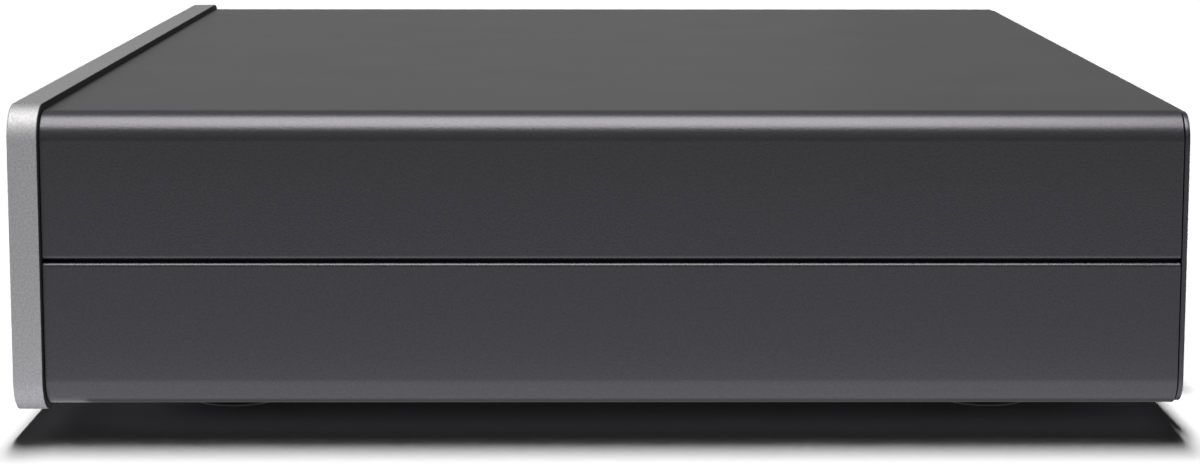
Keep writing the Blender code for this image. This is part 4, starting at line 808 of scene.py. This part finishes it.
inlet = {"x": 84 * mm, "z": 27.4 * mm, "neck": (21 * mm, 14.4 * mm),
         "flange": (28 * mm, 19 * mm, 2.0 * mm), "flangeThick": 1.2 * mm, "flangeEdge": 0.35 * mm,
         "lobe": 4.0 * mm, "pitch": 8.6 * mm, "waist": 5.6 * mm, "recess": 11.5 * mm,
         "leadIn": (1.03, 1.08, 0.25 * mm), "pin": 1.2 * mm, "pinBelow": 1.6 * mm,
         "foot": 4.6 * mm}


def makeInlet():
    low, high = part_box("mains_inlet")
    x, z, seat = inlet["x"], inlet["z"], rear["seatZ"]
    width, height = inlet["neck"]
    flangeBack = high.y - inlet["flangeThick"]
    body = beam("inlet_body", x, width, (low.y, flangeBack + 0.6 * mm),
                (z - height / 2, z + height / 2), 0.3 * mm)
    base = beam("base", x, width, (low.y, panelLow.y - 0.3 * mm), (seat, seat + inlet["foot"]),
                0.2 * mm)
    wide, tall, corner = inlet["flange"]
    flange = plate("flange", [roundedShape(wide, tall, corner, x, z)], flangeBack,
                   high.y, inlet["flangeEdge"], 4)
    body = join(body, base, flange)
    shift = inlet["pitch"] / 2
    waist = degrees(asin(inlet["waist"] / 2 / inlet["lobe"]))
    eight = arcPoints(x + shift, z, inlet["lobe"], waist - 180, 180 - waist, 40)
    eight += arcPoints(x - shift, z, inlet["lobe"], waist, 360 - waist, 40)
    across, up, deep = inlet["leadIn"]
    flared = [(x + (a - x) * across, z + (b - z) * up) for a, b in eight]
    floor = high.y - inlet["recess"]
    body = cut(body, plate("recess", [eight], floor, high.y + mm),
               plate("leadIn", [flared], high.y - deep, high.y + mm))
    dress(body, blackPbt, stands=["mains_inlet"])
    pin, length = inlet["pin"], high.y - inlet["pinBelow"] - floor
    profile = arcPoints(pin * 0.45, length - pin * 0.55, pin * 0.55, 90, 0, 6)
    profile = [(0, length)] + profile + [(pin, -0.5 * mm), (0, -0.5 * mm)]
    for side, px in (("left", x - shift), ("right", x + shift)):
        dress(lathe("inlet_pin_" + side, profile, (px, floor, z), 40), nickelPlate)


# Network socket: tin plated shield over a black insert with eight spring contacts

network = {"x": 28 * mm, "size": (16 * mm, 13.5 * mm), "sheet": 0.3 * mm,
           "mouthFloor": 1.5 * mm, "mouthDepth": 12 * mm, "mouthGap": 0.25 * mm,
           "steps": ((3.4 * mm, 1.2 * mm), (6.2 * mm, 1.7 * mm), (11.8 * mm, 6.8 * mm)),
           "contacts": 8, "contactPitch": 1.02 * mm, "wire": 0.4 * mm, "wireEdge": 0.08 * mm,
           "wireSlope": 17}


def mouthBlocks(low, high, grow=0.0):
    # the plug's opening as three boxes, latch notch at the bottom
    z = rear["seatZ"] + network["mouthFloor"]
    boxes = []
    for wide, tall in network["steps"]:
        boxes.append(beam("mouth", network["x"], wide + 2 * grow, (low, high),
                          (z - grow, z + tall + grow)))
        z += tall - 0.05 * mm
    return boxes


def makeNetworkSocket():
    low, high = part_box("ethernet_socket")
    bottom, sheet = rear["seatZ"], network["sheet"]
    top = bottom + network["size"][1]
    shield = block("network_shell", (low.x, low.y, bottom), (high.x, high.y, top), 0.25 * mm)
    shield = cut(shield, *mouthBlocks(high.y - mm, high.y + mm, network["mouthGap"]))
    shield = cut(shield, block("hollow", (low.x + sheet, low.y + sheet, bottom + sheet),
                               (high.x - sheet, high.y - sheet, top - sheet)))
    dress(shield, tinPlate, stands=["ethernet_socket"])
    inner = sheet + 0.05 * mm
    insert = block("network_insert", (low.x + inner, low.y + inner, bottom + inner),
                   (high.x - inner, high.y - inner, top - inner))
    insert = cut(insert, *mouthBlocks(high.y - network["mouthDepth"], high.y + mm))
    dress(insert, blackPbt)
    # a contact is a straight wire under the roof and a sloping one that bends down from it
    roof = bottom + network["mouthFloor"] + sum(step[1] for step in network["steps"])
    start, bend = high.y - network["mouthDepth"] + 0.1 * mm, high.y - 3.2 * mm
    wires = []
    for i in range(network["contacts"]):
        x = network["x"] + (i - (network["contacts"] - 1) / 2) * network["contactPitch"]
        straight = beam("wire", x, network["wire"], (start, high.y - 2.6 * mm),
                        (roof - 0.9 * mm, roof - 0.5 * mm), network["wireEdge"], 2)
        slope = beam("wire", x, network["wire"], (high.y - 9.5 * mm, bend),
                     (roof - 2.9 * mm, roof - 2.5 * mm), network["wireEdge"], 2)
        slope.data.transform(Matrix.Translation((0, bend, roof - 0.75 * mm))
                             @ Matrix.Rotation(radians(network["wireSlope"]), 4, "X")
                             @ Matrix.Translation((0, -bend, 2.7 * mm - roof)))
        wires += [straight, slope]
    dress(gather("network_contacts", *wires), goldPlate)


# USB socket: folded shell, white tongue, four contacts

usb = {"x": 47 * mm, "size": (13.2 * mm, 6.8 * mm), "mouth": (12.0 * mm, 4.9 * mm, 0.5 * mm),
       "flare": (0.5 * mm, 0.6 * mm, 0.2 * mm), "depth": 9.5 * mm,
       "tongue": (10.6 * mm, 8.2 * mm, 1.8 * mm), "tongueLift": 0.6 * mm,
       "padXs": (-3.5 * mm, -1.0 * mm, 1.0 * mm, 3.5 * mm), "padWidth": 1.0 * mm}


def makeUsb():
    low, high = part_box("usb_socket")
    x, z = usb["x"], rear["seatZ"] + usb["size"][1] / 2
    width, height, corner = usb["mouth"]
    grow, flareCorner, flareDepth = usb["flare"]
    floor = high.y - usb["depth"]
    room = plate("room", [roundedShape(width, height, corner, x, z, 5)], floor,
                 high.y + mm)
    flare = plate("flare", [roundedShape(width + grow, height + grow, flareCorner, x, z, 5)],
                  high.y - flareDepth, high.y + mm)
    shell = cut(block("usb_shell", low, high, 0.35 * mm, 4), room, flare)
    dress(shell, tinPlate, stands=["usb_socket"])
    blade, reach, thick = usb["tongue"]
    top = z + height / 2 - usb["tongueLift"]
    under, tip = top - thick, floor + reach
    tongue = beam("usb_tongue", x, blade, (floor - 0.2 * mm, tip), (under, top), 0.2 * mm)
    dress(tongue, whitePlastic)
    pads = [beam("pad", x + dx, usb["padWidth"], (floor + 0.2 * mm, tip - 0.6 * mm),
                 (under - 0.12 * mm, under + 0.1 * mm), 0.05 * mm, 2) for dx in usb["padXs"]]
    dress(gather("usb_contacts", *pads), goldPlate)


# Optical socket and its sprung flap

optical = {"x": 6 * mm, "size": (12 * mm, 12.8 * mm), "bezel": 0.9 * mm, "wall": 1.2 * mm,
           "cavity": (9.4 * mm, 12.6 * mm), "mouth": (8.2 * mm, 7.8 * mm), "mouthFloor": 2.0 * mm,
           "chamfer": 1.6 * mm, "flap": 1.0 * mm, "pivot": (85.6 * mm, 28.3 * mm),
           "pin": 0.59 * mm, "ribXs": (-2 * mm, 0, 2 * mm), "ribWidth": 0.5 * mm}


def makeOpticalSocket():
    low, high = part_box("optical_socket")
    x, (wide, deep), wall = optical["x"], optical["cavity"], optical["wall"]
    bottom, top = rear["seatZ"], rear["seatZ"] + optical["size"][1]
    back = high.y - optical["bezel"]
    body = block("optical_body", (low.x, low.y, bottom), (high.x, high.y, top), 0.3 * mm)
    cavity = beam("cavity", x, wide, (back - deep, back), (bottom + wall, top - wall))
    half, notch = optical["mouth"][0] / 2, optical["chamfer"]
    floor = bottom + optical["mouthFloor"]
    ceiling = floor + optical["mouth"][1]
    shape = soften([(half, floor), (half, ceiling - notch), (half - notch, ceiling),
                    (notch - half, ceiling), (-half, ceiling - notch), (-half, floor)], 0.3 * mm, 4)
    mouth = plate("mouth", [[(x + a, b) for a, b in shape]], back - mm, high.y + mm)
    reach = wide / 2 + 0.8 * mm
    bearing = plate("bearing", [circleShape(optical["pin"] + fit, *optical["pivot"], 24)],
                    x - reach, x + reach, plane="side")
    dress(cut(body, cavity, mouth, bearing), blackAbs, stands=["optical_socket"])
    # the lens of the emitter at the cavity's back
    profile = [(0, 1.2 * mm), (0.9 * mm, 1.0 * mm), (1.3 * mm, 0.6 * mm), (1.3 * mm, -0.4 * mm),
               (0, -0.4 * mm)]
    lens = lathe("optical_lens", profile, (x, back - deep, (floor + ceiling) / 2), 32)
    dress(lens, clearAcrylic)


def makeOpticalFlap():
    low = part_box("optical_flap")[0]
    x, (y, z), radius = optical["x"], optical["pivot"], optical["flap"] / 2
    half = optical["cavity"][0] / 2 - fit
    section = arcPoints(y, z, radius, 0, 180, 16)
    section += [(y - radius, low.z), (y + radius, low.z)]
    flap = plate("optical_shutter", [section], x - half, x + half, 0.1 * mm, 2, plane="side")
    reach = half + 0.6 * mm
    pin = plate("pin", [circleShape(optical["pin"], y, z, 24)], x - reach, x + reach, plane="side")
    face = y + radius
    ribs = [beam("rib", x + dx, optical["ribWidth"], (face - 0.05 * mm, face + 0.15 * mm),
                 (low.z + 1.2 * mm, z - 1.6 * mm), 0.06 * mm, 2) for dx in optical["ribXs"]]
    dress(join(flap, pin, *ribs), blackAbs, "optical_flap", ["optical_flap"])


# Phono sockets: one moulded block, plated barrels, coloured cores with a sprung contact

phono = {"z": 27.6 * mm, "xs": {"digital": -14 * mm, "line_right": -36 * mm, "line_left": -54 * mm},
         "colours": {"digital": (blackPbt, "black_plastic"),
                     "line_right": (redPlastic, "red_plastic"),
                     "line_left": (whitePlastic, "white_plastic")},
         "nose": 5.5 * mm, "barrel": 4.15 * mm, "bore": 3.35 * mm, "flange": 5.3 * mm,
         "flangeThick": 1.0 * mm, "mouthEdge": 0.3 * mm, "grooves": (1.2 * mm, 2.0 * mm),
         "grooveDepth": 0.15 * mm, "pinBore": 1.7 * mm, "pinDepth": 6.0 * mm, "leaves": 4}


def makePhonoBlock():
    low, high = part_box("phono_block")
    face, r = panelLow.y - fit, phono["nose"]
    housing = block("phono_housing", low, (high.x, face, high.z), 0.4 * mm)
    reach = high.y - face
    profile = soften([(0, reach), (r, reach), (r, -mm), (0, -mm)], 0.25 * mm, 4, False)
    noses = [lathe("nose", profile, (x, face, phono["z"]), 72)
             for x in phono["xs"].values()]
    dress(join(housing, *noses), blackAbs, stands=["phono_block"])


def makeBarrel(name, x):
    low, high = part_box(name + "_barrel")
    reach, edge, groove = high.y - low.y, phono["mouthEdge"], phono["grooveDepth"]
    r, bore, rim, thick = (phono[k] for k in ("barrel", "bore", "flange", "flangeThick"))
    profile = [(bore, 0), (bore, reach - edge), (bore + 0.25 * mm, reach), (r - edge, reach),
               (r, reach - edge)]
    # turned grooves near the mouth, then the flange
    for start in phono["grooves"]:
        g = reach - start
        profile += [(r, g), (r - groove, g - groove), (r, g - 2 * groove)]
    profile += soften([(r, thick + mm), (r, thick), (rim, thick), (rim, 0), (bore, 0)],
                      0.15 * mm, 3, False)[1:-1]
    dress(lathe(name + "_shell", profile, (x, low.y, phono["z"]), 72), goldPlate,
          stands=[name + "_barrel"])


def makeCore(name, x):
    low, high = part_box(name + "_insulator")
    length = high.y - low.y
    outer, hole, floor = phono["bore"] - fit, phono["pinBore"], length - phono["pinDepth"]
    profile = soften([(0, floor), (hole, floor), (hole, length), (outer, length), (outer, 0),
                      (0, 0)], 0.2 * mm, 4, False)
    place = (x, low.y, phono["z"])
    material, slot = phono["colours"][name]
    dress(lathe(name + "_core", profile, place, 64), material,
          stands=[name + "_insulator"])
    # leaves of the centre contact
    leaves = []
    for i in range(phono["leaves"]):
        leaf = block("leaf", (-0.55 * mm, floor, 1.35 * mm),
                     (0.55 * mm, length - 1.2 * mm, 1.6 * mm), 0.06 * mm, 2)
        turn = radians(45 + 360 / phono["leaves"] * i)
        leaf.data.transform(Matrix.Translation(place) @ Matrix.Rotation(turn, 4, "Y"))
        leaves.append(leaf)
    dress(gather(name + "_contact", *leaves), goldPlate)


# Aerial sockets: threaded coax connectors with a nut and a washer

aerial = {"z": 36.0 * mm, "xs": (60 * mm, -90 * mm), "thread": 3.1 * mm, "bore": 2.3 * mm,
          "boreDepth": 5.0 * mm, "pin": 0.65 * mm, "collar": 4.2 * mm, "collarThick": 2.2 * mm,
          "ferrule": 1.6 * mm, "pitch": 0.7 * mm, "threadDepth": 0.28 * mm, "flats": 8.0 * mm,
          "washer": 0.45 * mm}


def makeAerialSocket(i, x):
    low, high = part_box(f"antenna_socket_{i}")
    seat = panelLow.y - fit
    reach, tail = high.y - seat, low.y - seat
    r, bore, pin = aerial["thread"], aerial["bore"], aerial["pin"]
    floor, start = reach - aerial["boreDepth"], reach - 0.4 * mm
    # from the split pin over the bore and the thread to the collar and the crimped tail
    profile = [(0, floor + 3.6 * mm), (0.3 * mm, floor + 3.9 * mm), (pin, floor + 3.5 * mm),
               (pin, floor), (bore, floor), (bore, reach - 0.2 * mm), (bore + 0.2 * mm, reach),
               (r - 0.4 * mm, reach)]
    root = r - aerial["threadDepth"]
    for k in range(int((start - 1.4 * mm) / aerial["pitch"])):
        top = start - k * aerial["pitch"]
        profile += [(r, top), (r, top - 0.1 * mm), (root, top - 0.3 * mm), (root, top - 0.42 * mm)]
    collar, under, ferrule = aerial["collar"], -aerial["collarThick"], aerial["ferrule"]
    profile += [(r, mm), (r, 0), (collar, 0), (collar, under), (ferrule, under), (ferrule, tail),
                (0, tail)]
    dress(lathe(f"aerial_socket_{i}", profile, (x, seat, aerial["z"]), 56), goldPlate,
          stands=[f"antenna_socket_{i}"])


def makeAerialNut(i, x):
    low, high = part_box(f"antenna_nut_{i}")
    z, washer, thick = aerial["z"], aerial["washer"], high.y - low.y
    corner, hole = aerial["flats"] / 2 / cos(radians(30)), aerial["thread"] + 0.1 * mm
    inset, drop = corner - 0.5 * mm, 0.35 * mm
    nut = lathe(f"aerial_nut_{i}", [(hole, washer), (hole, thick), (inset, thick),
                                    (corner, thick - drop), (corner, washer + drop),
                                    (inset, washer)], (x, low.y, z), 72)
    hexagon = plate("hexagon", [circleShape(corner, x, z, 6)], low.y - mm, high.y + mm)
    dress(combine(nut, hexagon, "INTERSECT"), goldPlate,
          stands=[f"antenna_nut_{i}"])
    rim, flat = corner - 0.2 * mm, washer - 0.03 * mm
    section = soften([(hole, 0), (hole, flat), (rim, flat), (rim, 0)], 0.08 * mm, 2)
    dress(lathe(f"aerial_washer_{i}", section, (x, low.y, z), 56), nickelPlate)


makeRearPanel()
makeRearScrews()
makeInlet()
makeNetworkSocket()
makeUsb()
makeOpticalSocket()
makeOpticalFlap()
makePhonoBlock()
for name, x in phono["xs"].items():
    makeBarrel(name, x)
    makeCore(name, x)
for i, x in enumerate(aerial["xs"], 1):
    makeAerialSocket(i, x)
    makeAerialNut(i, x)
print("rear made")


# What the case hides keeps its solids and gets its real finish

insides = {blackAbs: ["front_subframe"], tinPlate: ["network_shield"],
           boardMask: ["front_board", "main_board", "network_card"],
           darkWindow: ["infrared_receiver"], ribbonFilm: ["ribbon_cable"],
           ferriteCore: ["transformer"], copperWire: ["filter_choke"],
           sleeveFilm: ["bulk_capacitor"], leadSheath: ["antenna_lead_1", "antenna_lead_2"],
           zincSteel: ["board_screw_1", "board_screw_2"],
           blackSteel: [f"front_screw_{i}" for i in range(1, 5)],
           blackPbt: ["standby_switch", *(f"preset_switch_{i}" for i in range(1, 5))]}
for material, names in insides.items():
    for name in names:
        nodes[name].data.materials.clear()
        nodes[name].data.materials.append(material)
print("insides finished")
